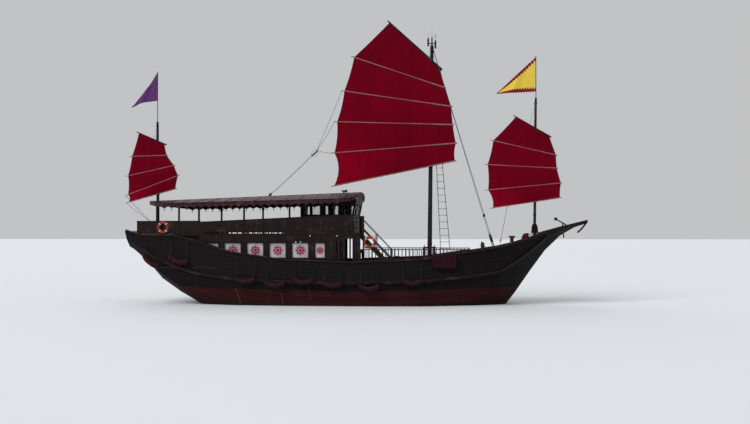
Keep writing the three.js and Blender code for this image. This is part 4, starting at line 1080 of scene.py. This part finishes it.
def block(centre, way, length, width):
    """A wooden pulley block: an egg-shaped shell in a rope strop, its long side along way."""
    clear()
    bpy.ops.mesh.primitive_uv_sphere_add(segments=14, ring_count=9, radius=0.5)
    piece = bpy.context.object
    piece.scale = (width * 0.62, width, length)
    stood(piece, centre, way)
    return joined([piece, ring(centre, Vector(way).orthogonal(), length * 0.47, 0.010, around=16, sides=4)])


def bending(piece, name, finish):
    """Finish a rope that runs from the ship to a sail, which turns at its mast."""
    finished(piece, name, finish, 60)
    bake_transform(piece)


print("after end of the boom:", [round(value, 2) for value in batten_tip("main", -1)])


# %% Sheets
EUPHROE = Vector((-2.54, -0.20, 9.08))
roof_block = Vector((-5.30, -0.10, roof_at(-5.30, -0.10) + 0.12))
sheet_parts = []
for row in (2, 3, 4):
    hole = EUPHROE + Vector((0.04 * row, 0, 0.05 * row))
    sheet_parts.append(rope(hanging(batten_tip("main", row), hole, 0.05), 0.011))
for out in (-0.03, 0.03):
    fall = hanging(EUPHROE + Vector((-0.05, out, 0)), roof_block + Vector((0, out, 0)), 0.06)
    sheet_parts.append(rope(fall, 0.012))
sheet_parts.append(block(EUPHROE, EUPHROE - roof_block, 0.52, 0.09))
bending(joined(sheet_parts), "main_sheet", "dark_rope")
done(block(roof_block, (1, 0, 0.9), 0.24, 0.12), "roof_sheet_block", "stair", smooth=40)

FORE_CLEAT_X = 8.59
fore_cleat = Vector((FORE_CLEAT_X, -side_at(FORE_CLEAT_X, 3.2) + 0.02, sheer_at(FORE_CLEAT_X) + 0.12))
fore_hitch = Vector((9.10, -OFFSET["fore"], 5.85))
fore_parts = [rope(hanging(fore_hitch, fore_cleat, 0.05), 0.012),
              block(fore_hitch.lerp(fore_cleat, 0.86), fore_cleat - fore_hitch, 0.18, 0.08)]
bending(joined(fore_parts), "fore_sheet", "dark_rope")

mizzen_cleat = Vector((-12.70, -0.55, 4.97))
mizzen_hitches = [batten_tip("mizzen", row) for row in (3, 4)]
mizzen_parts = [rope(hanging(hitch, mizzen_cleat, 0.04), 0.010) for hitch in mizzen_hitches]
bending(joined(mizzen_parts), "mizzen_sheet", "dark_rope")
print("main sheet's upper block is", round(EUPHROE.z, 2), "m over the water")


# %% Topping lifts and halyards
def topping_lifts(name):
    """From the mast's head down the sail's port face to the boom, aft and fore of the mast."""
    head_x, head_z = MASTS[name]["head"]
    aft_x, aft_z, fore_x, fore_z = SPARS[name][-1]
    inner = -OFFSET[name] + BATTEN[name] + 0.02
    head = Vector((head_x, inner + 0.02, head_z - 0.25))
    lines = []
    for share in (0.22, 0.50):
        hitch = Vector((aft_x + (fore_x - aft_x) * share, inner, aft_z + (fore_z - aft_z) * share - 0.05))
        lines.append(rope([head, head.lerp(hitch, 0.5), hitch], 0.008))
        lines.append(ring(hitch + Vector((0, -0.06, 0.04)), (1, 0, 0.1), 0.07, 0.008, around=12, sides=4))
    return joined(lines)


def halyard(name, tail_z):
    """The fall of the halyard, down the mast's port side to its foot, and a block at the head."""
    head_x, head_z = MASTS[name]["head"]
    low_x, low_radius = mast_at(name, tail_z)
    head = Vector((head_x - 0.02, MASTS[name]["radius"][1] + 0.05, head_z - 0.30))
    lines = []
    for shift in (-0.05, 0, 0.05):
        tail = (low_x + shift, low_radius + 0.05, tail_z)
        lines.append(rope([head + Vector((shift, 0.02, 0)), tail], 0.009))
    return joined([*lines, block(head + Vector((0, 0.02, 0.02)), (0, 0, 1), 0.22, 0.10)])


for name, tail_z in (("main", 3.35), ("fore", 4.35), ("mizzen", 4.75)):
    done(topping_lifts(name), f"{name}_topping_lifts", "rope", f"{name}_sail", smooth=60)
    done(halyard(name, tail_z), f"{name}_halyard", "dark_rope", smooth=60)
print("halyards:", len(MASTS))

# %% [markdown]
# ## Stays, ladder and mast heads
#
# Each forestay ends in a rigging screw at the rail, with an insulator block higher up. The rungs of the
# shroud ladder are seized to its stiles. Iron bands with eyes hold the ropes at each mast's head and foot,
# and the main mast carries whip aerials, one of them with a direction finder's ring.

# %% Rigging screws and stay blocks
STAY_TOP, STAY_FOOT = Vector((4.69, -0.37, 15.30)), Vector((8.29, -2.51, 3.38))
# A part of the gear: where it starts and ends as shares of the stay, and its two radii.
STAY_PARTS = [(0.835, 0.846, 0.055, 0.055), (0.938, 0.972, 0.050, 0.050), (0.928, 0.940, 0.026, 0.026),
              (0.970, 0.990, 0.026, 0.034)]

way = STAY_FOOT - STAY_TOP
parts = [pole(STAY_TOP + way * start, STAY_TOP + way * end, radius, tip, 8)
         for start, end, radius, tip in STAY_PARTS]
parts.append(ring(STAY_TOP + way * 0.991, (1, 0, 0), 0.06, 0.020, around=14, sides=6))
both(joined(parts), "stay_gear", "iron", slot="steel_wire", smooth=40)
print("stay:", round(way.length, 2), "m long")

# %% Rung seizings of the shroud ladder
LADDER = [{"foot": (5.02, 3.64, 2.76), "head": (4.545, 0.128, 15.0), "inward": 0.03},
          {"foot": (5.635, 3.64, 2.76), "head": (4.64, 0.128, 15.0), "inward": -0.03}]
RUNG_FIRST, RUNG_LAST, RUNG_PITCH = 3.25, 14.1, 0.42

places = []
for rung in range(int((RUNG_LAST - RUNG_FIRST) / RUNG_PITCH) + 1):
    for stile in LADDER:
        foot, head = Vector(stile["foot"]), Vector(stile["head"])
        place = foot.lerp(head, (RUNG_FIRST + rung * RUNG_PITCH - foot.z) / (head.z - foot.z))
        places.append(place + Vector((stile["inward"], 0, 0)))
first = ring((0, 0, 0), (1, 0, 0.3), 0.026, 0.010, around=8, sides=4)
done(joined(copies(first, places)), "ladder_seizings", "dark_rope", smooth=60)
print("seizings:", len(places))


# %% Mast bands and aerials
# A band: its mast and its height. An aerial: its x and the heights of its foot and its tip.
BANDS = [("main", 15.45), ("main", 14.95), ("main", 3.60), ("fore", 12.05), ("fore", 5.35), ("mizzen", 10.85)]
WHIPS = [(4.60, 16.05, 16.65), (4.37, 16.00, 16.40), (4.81, 15.86, 16.25)]
FINDER_RING = (4.81, 0, 16.20)


def mast_band(name, z):
    x, radius = mast_at(name, z)
    clear()
    bpy.ops.mesh.primitive_cylinder_add(vertices=20, radius=radius + 0.012, depth=0.09, location=(x, 0, z))
    parts = [on_all(bpy.ops.mesh.bevel, offset=0.006, segments=1, affect="EDGES")]
    for y in (-radius - 0.04, radius + 0.04):
        parts.append(ring((x, y, z), (1, 0, 0), 0.035, 0.012, around=12, sides=5))
    return joined(parts)


bands = [mast_band(name, z) for name, z in BANDS]
done(joined(bands), "mast_bands", "iron", slot="dark_iron", smooth=40)
aerial = [pole((x, 0, low), (x, 0, high), 0.012, 0.006, 6) for x, low, high in WHIPS]
aerial.append(ring(FINDER_RING, (0, 1, 0), 0.055, 0.008, around=14, sides=4))
done(joined(aerial), "mast_aerials", "iron", smooth=40)
print("bands:", len(BANDS), "aerials:", len(WHIPS))

# %% [markdown]
# ## Roof
#
# The awning roof is canvas over arched ribs, and its plan is rounded at both ends. Its skin shows the ribs
# as low ridges, its edge is bound with ropes, and four pale lashings on each side cross it. The scalloped
# valance of the straight sides ends in small tassels. A horn stands on its fore end, over the wheelhouse.

# %% Ribs, edge ropes and lashings
# The roof's plan: x and half breadth.
ROOF_PLAN = ((-12.78, 0.35), (-12.56, 0.95), (-12.19, 1.85), (-11.75, 2.70), (-11.25, 3.15), (-0.60, 3.15),
             (-0.05, 2.98), (0.20, 2.50), (0.31, 1.90), (0.345, 1.00))
ROOF_AFT, ROOF_FORE, ROOF_HALF = ROOF_PLAN[0][0], ROOF_PLAN[-1][0], 3.15
VALANCE = (-11.25, -0.60)
RIB_PITCH, LASHING_PITCH, SCALLOP_PITCH = 0.87, 2.7, 0.435
LASHINGS, FIRST_LASHING, HEM_STEPS = 4, -11.2, 30


def roof_half(x):
    return read_off(ROOF_PLAN, x)


def over_roof(x, lift, steps=14):
    reach = roof_half(x) - 0.02
    ys = [reach * (2 * step / steps - 1) for step in range(steps + 1)]
    return [(x, y, roof_at(x, y) + lift) for y in ys]


def round_roof(out, down):
    """Points round the starboard half of the roof's edge, a little out from it and down from its top."""
    middle = [(ROOF_AFT - out, 0.0), *[(x, half + out) for x, half in ROOF_PLAN], (ROOF_FORE + out, 0.0)]
    points = []
    for x, y in middle:
        inside = min(max(x, ROOF_AFT + 0.01), ROOF_FORE - 0.01)
        points.append((x, -y, roof_at(inside, -min(y, roof_half(inside) - 0.02)) - down))
    return points


rib_count = int((ROOF_FORE - ROOF_AFT - 0.3) / RIB_PITCH) + 1
rib_xs = [ROOF_AFT + 0.22 + step * RIB_PITCH for step in range(rib_count)]
ribs = [rope(over_roof(x, 0.004), 0.022) for x in rib_xs]
ribs.append(rope([(x, 0, roof_at(x) + 0.01) for x in (ROOF_AFT + 0.02, ROOF_FORE - 0.02)], 0.03))
done(joined(ribs), "roof_ribs", "roof", slot="red_wood", smooth=60)

hem_xs = [VALANCE[0] + (VALANCE[1] - VALANCE[0]) * step / HEM_STEPS for step in range(HEM_STEPS + 1)]
hem = rope([(x, -ROOF_HALF - 0.030, roof_at(x, ROOF_HALF - 0.01) - 0.135) for x in hem_xs], 0.012)
edges = [rope(round_roof(0.012, 0.02), 0.022), rope(round_roof(0.006, 0.20), 0.014), hem]
both(joined(edges), "roof_edge_rope", "roof", slot="red_wood", smooth=60)

lashes = []
for step in range(LASHINGS):
    x = FIRST_LASHING + step * LASHING_PITCH
    inboard = (x + 0.28, -ROOF_HALF + 0.55, roof_at(x + 0.28, -ROOF_HALF + 0.55) + 0.012)
    shoulder = (x + 0.04, -ROOF_HALF + 0.01, roof_at(x, -ROOF_HALF + 0.02) + 0.014)
    under = (x, -ROOF_HALF - 0.05, roof_at(x, -ROOF_HALF + 0.02) - 0.16)
    lashes.append(rope([inboard, shoulder, under], 0.014))
both(joined(lashes), "roof_lashings", "rope", smooth=60)
print("ribs:", rib_count, "lashings on each side:", LASHINGS)


# %% Tassels of the valance
def tassel():
    clear()
    bpy.ops.mesh.primitive_cone_add(vertices=8, radius1=0.034, radius2=0.010, depth=0.09,
                                    location=(0, 0, -0.085))
    skirt = settle(bpy.context.object)
    bpy.ops.mesh.primitive_uv_sphere_add(segments=8, ring_count=5, radius=0.022, location=(0, 0, -0.03))
    return joined([skirt, settle(bpy.context.object)])


count = round((VALANCE[1] - VALANCE[0]) / SCALLOP_PITCH)
tassel_xs = [VALANCE[0] + (step + 0.5) * (VALANCE[1] - VALANCE[0]) / count for step in range(count)]
places = [(x, -ROOF_HALF - 0.012, roof_at(x, ROOF_HALF - 0.01) - 0.31) for x in tassel_xs]
both(joined(copies(tassel(), places)), "valance_tassels", "drape", smooth=60)
print("tassels on each side:", count)

# %% Horn
HORN_X, HORN_RISE = -0.77, 0.15

horn_foot = roof_at(HORN_X)
axis = horn_foot + HORN_RISE
clear()
bpy.ops.mesh.primitive_cone_add(vertices=18, radius1=0.035, radius2=0.09, depth=0.24, end_fill_type="NOTHING",
                                location=(HORN_X + 0.08, 0, axis), rotation=(0, math.pi / 2, 0))
trumpet = settle(bpy.context.object)
thickened(trumpet, 0.008)
horn = [trumpet, pole((HORN_X, 0, horn_foot - 0.02), (HORN_X, 0, horn_foot + 0.13), 0.06, 0.05, 14),
        pole((HORN_X - 0.14, 0, axis), (HORN_X - 0.03, 0, axis), 0.055, 0.04, 14)]
done(joined(horn), "roof_horn", "iron", slot="dark_iron", smooth=40)
print("horn's axis over the water:", round(axis, 2))

# %% [markdown]
# ## Deckhouse trim
#
# The tall upper bulwarks are framed boards. A rail caps them, a lower rail and posts stand proud of the
# boarding. Curved knees join the roof's posts to their beams. The wheelhouse has glass in wooden sashes,
# and its windscreen leans out from the sill up, so the front sashes are made upright and then pushed
# forward, and the last side window is stretched to meet them. The glass is faint and dull: it lies over a
# dark room, and a brighter pane would show as speckles.

# %% Framing of the upper bulwarks
RAIL = {"low": 4.345, "high": 4.405, "proud": 0.030, "bevel": 0.008}
STRIP = {"low": 4.690, "high": 4.725, "proud": 0.022, "bevel": 0.006}
STILE = {"low": 4.40, "high": 4.93, "proud": 0.024, "bevel": 0.006}
SLIT_BAR = {"low": 4.17, "high": 4.28, "proud": 0.012, "bevel": 0.003}
STILES, STILE_HALF, BOARDED_TO = 11, 0.035, 0.17
SLIT_AFT, SLIT_FORE, SLIT_PITCH = -8.6, -3.9, 0.34

bulwark_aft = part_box("upper_bulwark_starboard")[0][0]
face = struck("upper_bulwark_starboard", (-5.0, -9, 4.7), (0, 1, 0)).y
aft_end, fore_end = bulwark_aft + 0.12, BOARDED_TO - 0.04
print("upper bulwark starts at x =", round(bulwark_aft, 2), "and stands at y =", round(face, 3))


def on_bulwark(aft, fore, kind):
    """A bar on the boards of the starboard bulwark."""
    return bar((aft, face - kind["proud"], kind["low"]), (fore, face - 0.001, kind["high"]), kind["bevel"])


stile_xs = [aft_end + 0.1 + (fore_end - aft_end - 0.2) * step / (STILES - 1) for step in range(STILES)]
slit_xs = [SLIT_AFT + (step + 0.6) * SLIT_PITCH for step in range(int((SLIT_FORE - SLIT_AFT) / SLIT_PITCH))]
frames = [on_bulwark(aft_end, fore_end, RAIL), on_bulwark(aft_end, fore_end, STRIP)]
for kind, xs in ((STILE, stile_xs), (SLIT_BAR, slit_xs)):
    frames += [on_bulwark(x - STILE_HALF, x + STILE_HALF, kind) for x in xs]
both(joined(frames), "upper_bulwark_framing", "rail", slot="brown_wood")

# %% Knees of the roof posts
POSTS, POST_Y, KNEE = (-9.03, -6.33, -3.63, -1.0), 2.86, 0.30


def knee(x, y, z, way):
    """A curved bracket from a post out to its beam: a quarter circle, hollow side down."""
    turns = [step * math.pi / 10 for step in range(6)]
    arc = [(x + way * KNEE * (1 - math.cos(turn)), y, z - KNEE * (1 - math.sin(turn))) for turn in turns]
    return rope(arc, 0.024)


knees = [knee(x + way * 0.05, -POST_Y, roof_at(x, POST_Y) - 0.20, way) for x in POSTS for way in (-1, 1)]
both(joined(knees), "post_knees", "rail", slot="brown_wood", smooth=60)
print("knees on each side:", len(knees))

# %% Wheelhouse sashes and glass
HOUSE_FORE, HOUSE_HALF = 0.02, 1.85
SASH_LOW, SASH_HIGH = 5.30, 5.95
RAKE, RAKE_FROM = 0.2, 5.25
# A sash: where it starts and ends, along the ship or across her.
SIDE_SASHES = [(-3.0, -1.96), (-1.67, -0.87), (-0.54, -0.06)]
LAST_SASH = SIDE_SASHES[-1][0]
FRONT_SASHES = [(-1.74, -0.66), (-0.54, 0.54), (0.66, 1.74)]
BAR = 0.035


def sash(start, end, place):
    """Four bars and a middle bar round a pane; place turns (along, up) and a depth into a point."""
    middle = (start + end) / 2
    spans = [(start, SASH_LOW, end, SASH_LOW + BAR), (start, SASH_HIGH - BAR, end, SASH_HIGH),
             (start, SASH_LOW, start + BAR, SASH_HIGH), (end - BAR, SASH_LOW, end, SASH_HIGH),
             (middle - BAR / 2, SASH_LOW, middle + BAR / 2, SASH_HIGH)]
    parts = [bar(place(a0, z0, 0.020), place(a1, z1, 0.050), 0.004) for a0, z0, a1, z1 in spans]
    low, high = place(start + 0.01, SASH_LOW + 0.01, 0.032), place(end - 0.01, SASH_HIGH - 0.01, 0.038)
    return parts, bar(low, high, 0.001)


def glass_finish():
    finish = Finish("window_glass", gloss=0, roughness=0.6, alpha=0.10)
    finish.material.surface_render_method = "BLENDED"
    # Painted sheen: the pane has no gloss of its own, and its faint bluish grey stands in for the reflection
    # on the glass, mottled by noise like dust.
    dust_and_painted_sheen = finish.noise(1.1, (1, 1, 1), 2)
    finish.paint(finish.mix(dust_and_painted_sheen, tone(40, 46, 50), tone(56, 64, 69)))
    return finish


def lean(piece, share):
    """Push a piece forward as the windscreen leans, by a share of it that depends on where a point is."""
    for vertex in piece.data.vertices:
        vertex.co.x += RAKE * (vertex.co.z - RAKE_FROM) * share(vertex.co.x)


finishes["glass"] = glass_finish()
bars, panes = [], []
for side in (-1, 1):
    for start, end in SIDE_SASHES:
        more, pane = sash(start, end, lambda a, z, depth: (a, side * (HOUSE_HALF - depth), z))
        if start == LAST_SASH:
            for piece in (*more, pane):
                lean(piece, lambda x: (x - LAST_SASH) / (end - start))
        bars += more
        panes.append(pane)
for start, end in FRONT_SASHES:
    more, pane = sash(start, end, lambda a, z, depth: (HOUSE_FORE - depth, a, z))
    for piece in (*more, pane):
        lean(piece, lambda x: 1)
    bars += more
    panes.append(pane)
done(joined(bars), "wheelhouse_sashes", "rail", slot="brown_wood")
done(joined(panes), "wheelhouse_glass", "glass")
print("panes:", len(panes))

# %% [markdown]
# ## Lamps and lifebuoys
#
# Small round lamps hang at the roof's fore corners and along the saloon. The lifebuoys are orange rings
# with four pale bands and a grab rope that is caught at each band.

# %% Lamps
ROOF_LAMPS = {"places": [(0.24, -2.20, 6.24), (0.24, 2.20, 6.24)], "size": (0.045, 0.09)}
WALL_LAMPS = {"places": [(-2.37, -3.115, 4.04), (-0.79, -3.115, 4.04), (-3.22, -3.115, 3.68),
                         (-2.93, -3.115, 3.68)], "size": (0.035, 0.06)}


def lamp(centre, radius, height):
    """A round lamp: its glass, and its cap and foot."""
    centre = Vector(centre)
    top = centre + Vector((0, 0, height))
    glass = pole(centre, top, radius, radius, 12)
    cap = pole(top, top + Vector((0, 0, 0.035)), radius * 1.15, radius * 0.6, 12)
    foot = pole(centre - Vector((0, 0, 0.03)), centre, radius * 1.1, radius * 1.1, 12)
    return glass, joined([cap, foot])


lamps = [lamp(place, *kind["size"]) for kind in (ROOF_LAMPS, WALL_LAMPS) for place in kind["places"]]
done(joined([glass for glass, case in lamps]), "lamp_glasses", "lamp", smooth=40)
done(joined([case for glass, case in lamps]), "lamp_cases", "iron", smooth=40)
print("lamps:", len(lamps))


# %% Lifebuoys
def buoy_finish():
    finish = Finish("lifebuoy_skin", coat_weight=0.15)
    wear = finish.noise(7, (1, 1, 1), 4)
    finish.paint(finish.mix(wear, tone(122, 28, 20), tone(156, 48, 34)))
    finish.dull(0.45 + wear * 0.25)
    finish.relief(wear, 0.003)
    return finish


finishes["buoy"] = buoy_finish()
finishes["band"] = plain("pale_band", tone(150, 144, 140), tone(184, 178, 172), scale=12, dull=0.6)
BUOY_RING, BUOY_TUBE, GRAB_STEPS = 0.285, 0.075, 8


def lifebuoy(node, facing):
    """Ring, bands and grab rope at a CAD lifebuoy's place. facing is its outward direction in plan."""
    low, high = (Vector(corner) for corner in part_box(node))
    centre = (low + high) / 2
    way = Vector(facing).normalized()
    side = way.cross(Vector((0, 0, 1)))

    def outward(angle):
        return side * math.cos(angle) + Vector((0, 0, math.sin(angle)))

    skin = ring(centre, way, BUOY_RING, BUOY_TUBE, around=36, sides=14)
    wraps, grabs = [], []
    for quarter in range(4):
        angle = (quarter + 0.5) * math.pi / 2
        middle, onward = centre + outward(angle) * BUOY_RING, outward(angle + math.pi / 2)
        for shift in (-0.030, -0.010, 0.010, 0.030):
            wraps.append(ring(middle + onward * shift, onward, BUOY_TUBE + 0.001, 0.011, 16, 5))
        arc = []
        for step in range(GRAB_STEPS + 1):
            bow = 0.020 + 0.012 * math.sin(step * math.pi / GRAB_STEPS)
            turn = angle + step * math.pi / 2 / GRAB_STEPS
            arc.append(centre + outward(turn) * (BUOY_RING + BUOY_TUBE + bow))
        grabs.append(rope(arc, 0.009))
    name = node.replace("lifebuoy", "buoy")
    done(skin, f"{name}_ring", "buoy", slot="lifebuoy_foam", smooth=60)
    done(joined(wraps), f"{name}_bands", "band", smooth=60)
    done(joined(grabs), f"{name}_grab_rope", "rope", smooth=60)
    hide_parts(node)


POOP_SLANT = 0.14
BUOYS = {"lifebuoy_poop_starboard": (-POOP_SLANT, -1, 0), "lifebuoy_poop_port": (-POOP_SLANT, 1, 0),
         "lifebuoy_stair": (0, -1, 0)}
for node_name, facing in BUOYS.items():
    lifebuoy(node_name, facing)
print("lifebuoys:", len(BUOYS))

# %% [markdown]
# ## Bow and fore deck
#
# A chain runs from the anchor to the windlass. A dark ribbon is tied to the stem head, dark red cloth is
# wound round the fore mast's foot, and more of it hangs over the starboard rail. Bollards and cleats stand
# at the rails.

# %% Anchor chain
CHAIN_LINK = 0.11


def chain(start, end, sag):
    start, end = Vector(start), Vector(end)
    count = round((end - start).length / (CHAIN_LINK * 0.72))
    points = hanging(start, end, sag, count)
    clear()
    bpy.ops.mesh.primitive_torus_add(major_radius=CHAIN_LINK * 0.36, minor_radius=0.012, major_segments=10,
                                     minor_segments=5)
    link = bpy.context.object
    link.scale = (1.35, 0.85, 1)
    settle(link)
    links = []
    for step, (here, there) in enumerate(zip(points, points[1:])):
        turn = (there - here).to_track_quat("X", "Z").to_matrix().to_4x4()
        roll = Matrix.Rotation(math.pi / 2 * (step % 2), 4, "X")
        links.append(copied(link, Matrix.Translation((here + there) / 2) @ turn @ roll))
    removed(link)
    return joined(links)


SHACKLE, DRUM = (12.37, -1.02, 4.66), (10.30, -0.66, 4.13)
done(chain(DRUM, SHACKLE, 0.04), "anchor_chain", "iron", slot="dark_iron", smooth=60)
print("chain:", round((Vector(SHACKLE) - Vector(DRUM)).length, 2), "m")

# %% Ribbon at the stem head
RIBBON_HEAD, RIBBON_TAIL = (13.78, -0.17, 4.86), (13.24, -0.20, 4.26)
RIBBON_ACROSS = Vector((0.70, 0.25, -0.62))
RIBBON_WIDE, RIBBON_WAVE, RIBBON_ROWS = 0.11, 0.02, 14

ribbon_line = hanging(RIBBON_HEAD, RIBBON_TAIL, 0.05, RIBBON_ROWS)


def place_on_ribbon(share, down):
    row = round(down * RIBBON_ROWS)
    lift = Vector((0.4, 0, 1)).normalized() * RIBBON_WAVE * math.sin(7 * (share - 0.5) + 1.7 * row)
    return ribbon_line[row] + RIBBON_ACROSS * RIBBON_WIDE * (share - 0.5) + lift * (row / RIBBON_ROWS)


ribbon = grid(4, RIBBON_ROWS, place_on_ribbon)
ribbon_area = thickened(ribbon)
done(ribbon, "stem_ribbon", "drape", smooth=60)
print("ribbon:", round(ribbon_area, 3), "square metres")

# %% Cloth round the fore mast's foot
WRAP_HIGH, WRAP_DEPTH = 4.78, 0.54

wrap_x, wrap_radius = mast_at("fore", 4.5)
clear()
bpy.ops.mesh.primitive_cylinder_add(vertices=48, radius=wrap_radius + 0.03, depth=WRAP_DEPTH,
                                    end_fill_type="NOTHING", location=(wrap_x, 0, WRAP_HIGH - WRAP_DEPTH / 2))
settle(bpy.context.object)
wrap = on_all(bpy.ops.mesh.subdivide, number_cuts=7)
for vertex in wrap.data.vertices:
    flat = Vector((vertex.co.x - wrap_x, vertex.co.y, 0))
    turn = math.atan2(flat.y, flat.x)
    drop = (WRAP_HIGH - vertex.co.z) / WRAP_DEPTH
    gather = 0.5 + 0.5 * math.cos(2 * math.pi * min(1, drop * 1.25))
    swell = 0.085 * drop + 0.030 * math.sin(turn * 9 + drop * 4) * (1 - 0.6 * gather)
    vertex.co += flat.normalized() * (swell + 0.012 - 0.02 * gather * (1 - drop))
wrap_area = thickened(wrap)
done(wrap, "mast_wrap", "drape", smooth=60)
print("mast wrap:", round(wrap_area, 2), "square metres")

# %% Drape over the rail
DRAPE_AFT, DRAPE_FORE, DRAPE_LOW = 4.72, 6.09, 2.13


def place_on_drape(share, down):
    x = DRAPE_AFT + (DRAPE_FORE - DRAPE_AFT) * share
    top = sheer_at(x) + 0.02
    low = DRAPE_LOW + 0.05 * math.sin(9 * share)
    z = top + (low - top) * down
    fold = 0.018 * math.sin(26 * share + 2 * down) * (0.3 + down)
    return x, -side_at(x, min(z, sheer_at(x) - 0.12)) - 0.10 + 0.03 * down - fold, z


drape = grid(34, 14, place_on_drape)
drape_area = thickened(drape)
done(drape, "rail_drape", "drape", smooth=60)
print("drape:", round(drape_area, 2), "square metres")

# %% Bollards and cleats
BOLLARD_X, BOLLARD_TALL, BOLLARD_RADIUS = 7.63, 0.42, 0.075
CLEAT_XS = (-10.6, 2.2, 6.6)


def bollard(x, y, foot):
    head, arm = foot + BOLLARD_TALL, foot + BOLLARD_TALL * 0.62
    return joined([pole((x, y, foot), (x, y, head), BOLLARD_RADIUS, BOLLARD_RADIUS, 14),
                   pole((x, y, head), (x, y, head + 0.045), BOLLARD_RADIUS * 1.35, BOLLARD_RADIUS * 1.1, 14),
                   pole((x - 0.16, y, arm), (x + 0.16, y, arm), 0.024, 0.024, 8)])


def rail_top(x, y):
    for node in ("bow_rail_starboard", "cap_rail_starboard"):
        point = struck(node, (x, y, 9), (0, 0, -1))
        if point is not None:
            return point.z
    return sheer_at(x)


post_y = -side_at(BOLLARD_X, 3.0) + 0.04
post = bollard(BOLLARD_X, post_y, rail_top(BOLLARD_X, post_y) - 0.01)
both(post, "rail_bollard", "iron", slot="dark_iron", smooth=40)
cleats = []
for x in CLEAT_XS:
    y = -side_at(x, sheer_at(x) - 0.1) - 0.02
    top = rail_top(x, y)
    for foot_x in (x - 0.07, x + 0.07):
        cleats.append(pole((foot_x, y, top - 0.01), (foot_x, y, top + 0.06), 0.022, 0.018, 8))
    cleats.append(pole((x - 0.2, y, top + 0.075), (x + 0.2, y, top + 0.075), 0.024, 0.024, 8))
both(joined(cleats), "rail_cleats", "iron", slot="dark_iron", smooth=40)
print("cleats on each side:", len(CLEAT_XS))

# %% The rope ends of the fenders
# Each rope end: x and height of its top, x and height of its tip.
ROPE_ENDS = [((-6.75, 0.99), (-6.46, 0.13)), ((-4.05, 0.78), (-3.93, 0.04)), ((-2.42, 1.02), (-2.30, 0.38))]
ROPE_STEPS = 12

for number, ((top_x, top_z), (low_x, low_z)) in enumerate(ROPE_ENDS, 1):
    run = []
    for step in range(ROPE_STEPS + 1):
        share = step / ROPE_STEPS
        x = top_x + (low_x - top_x) * share + 0.02 * math.sin(5 * share)
        z = top_z + (low_z - top_z) * share
        run.append(Vector((x, -side_at(x, z) - 0.030, z)))
    end = done(rope(run, 0.012), f"fender_rope_end_{number}", "rope", smooth=60)
print("rope ends:", len(ROPE_ENDS))
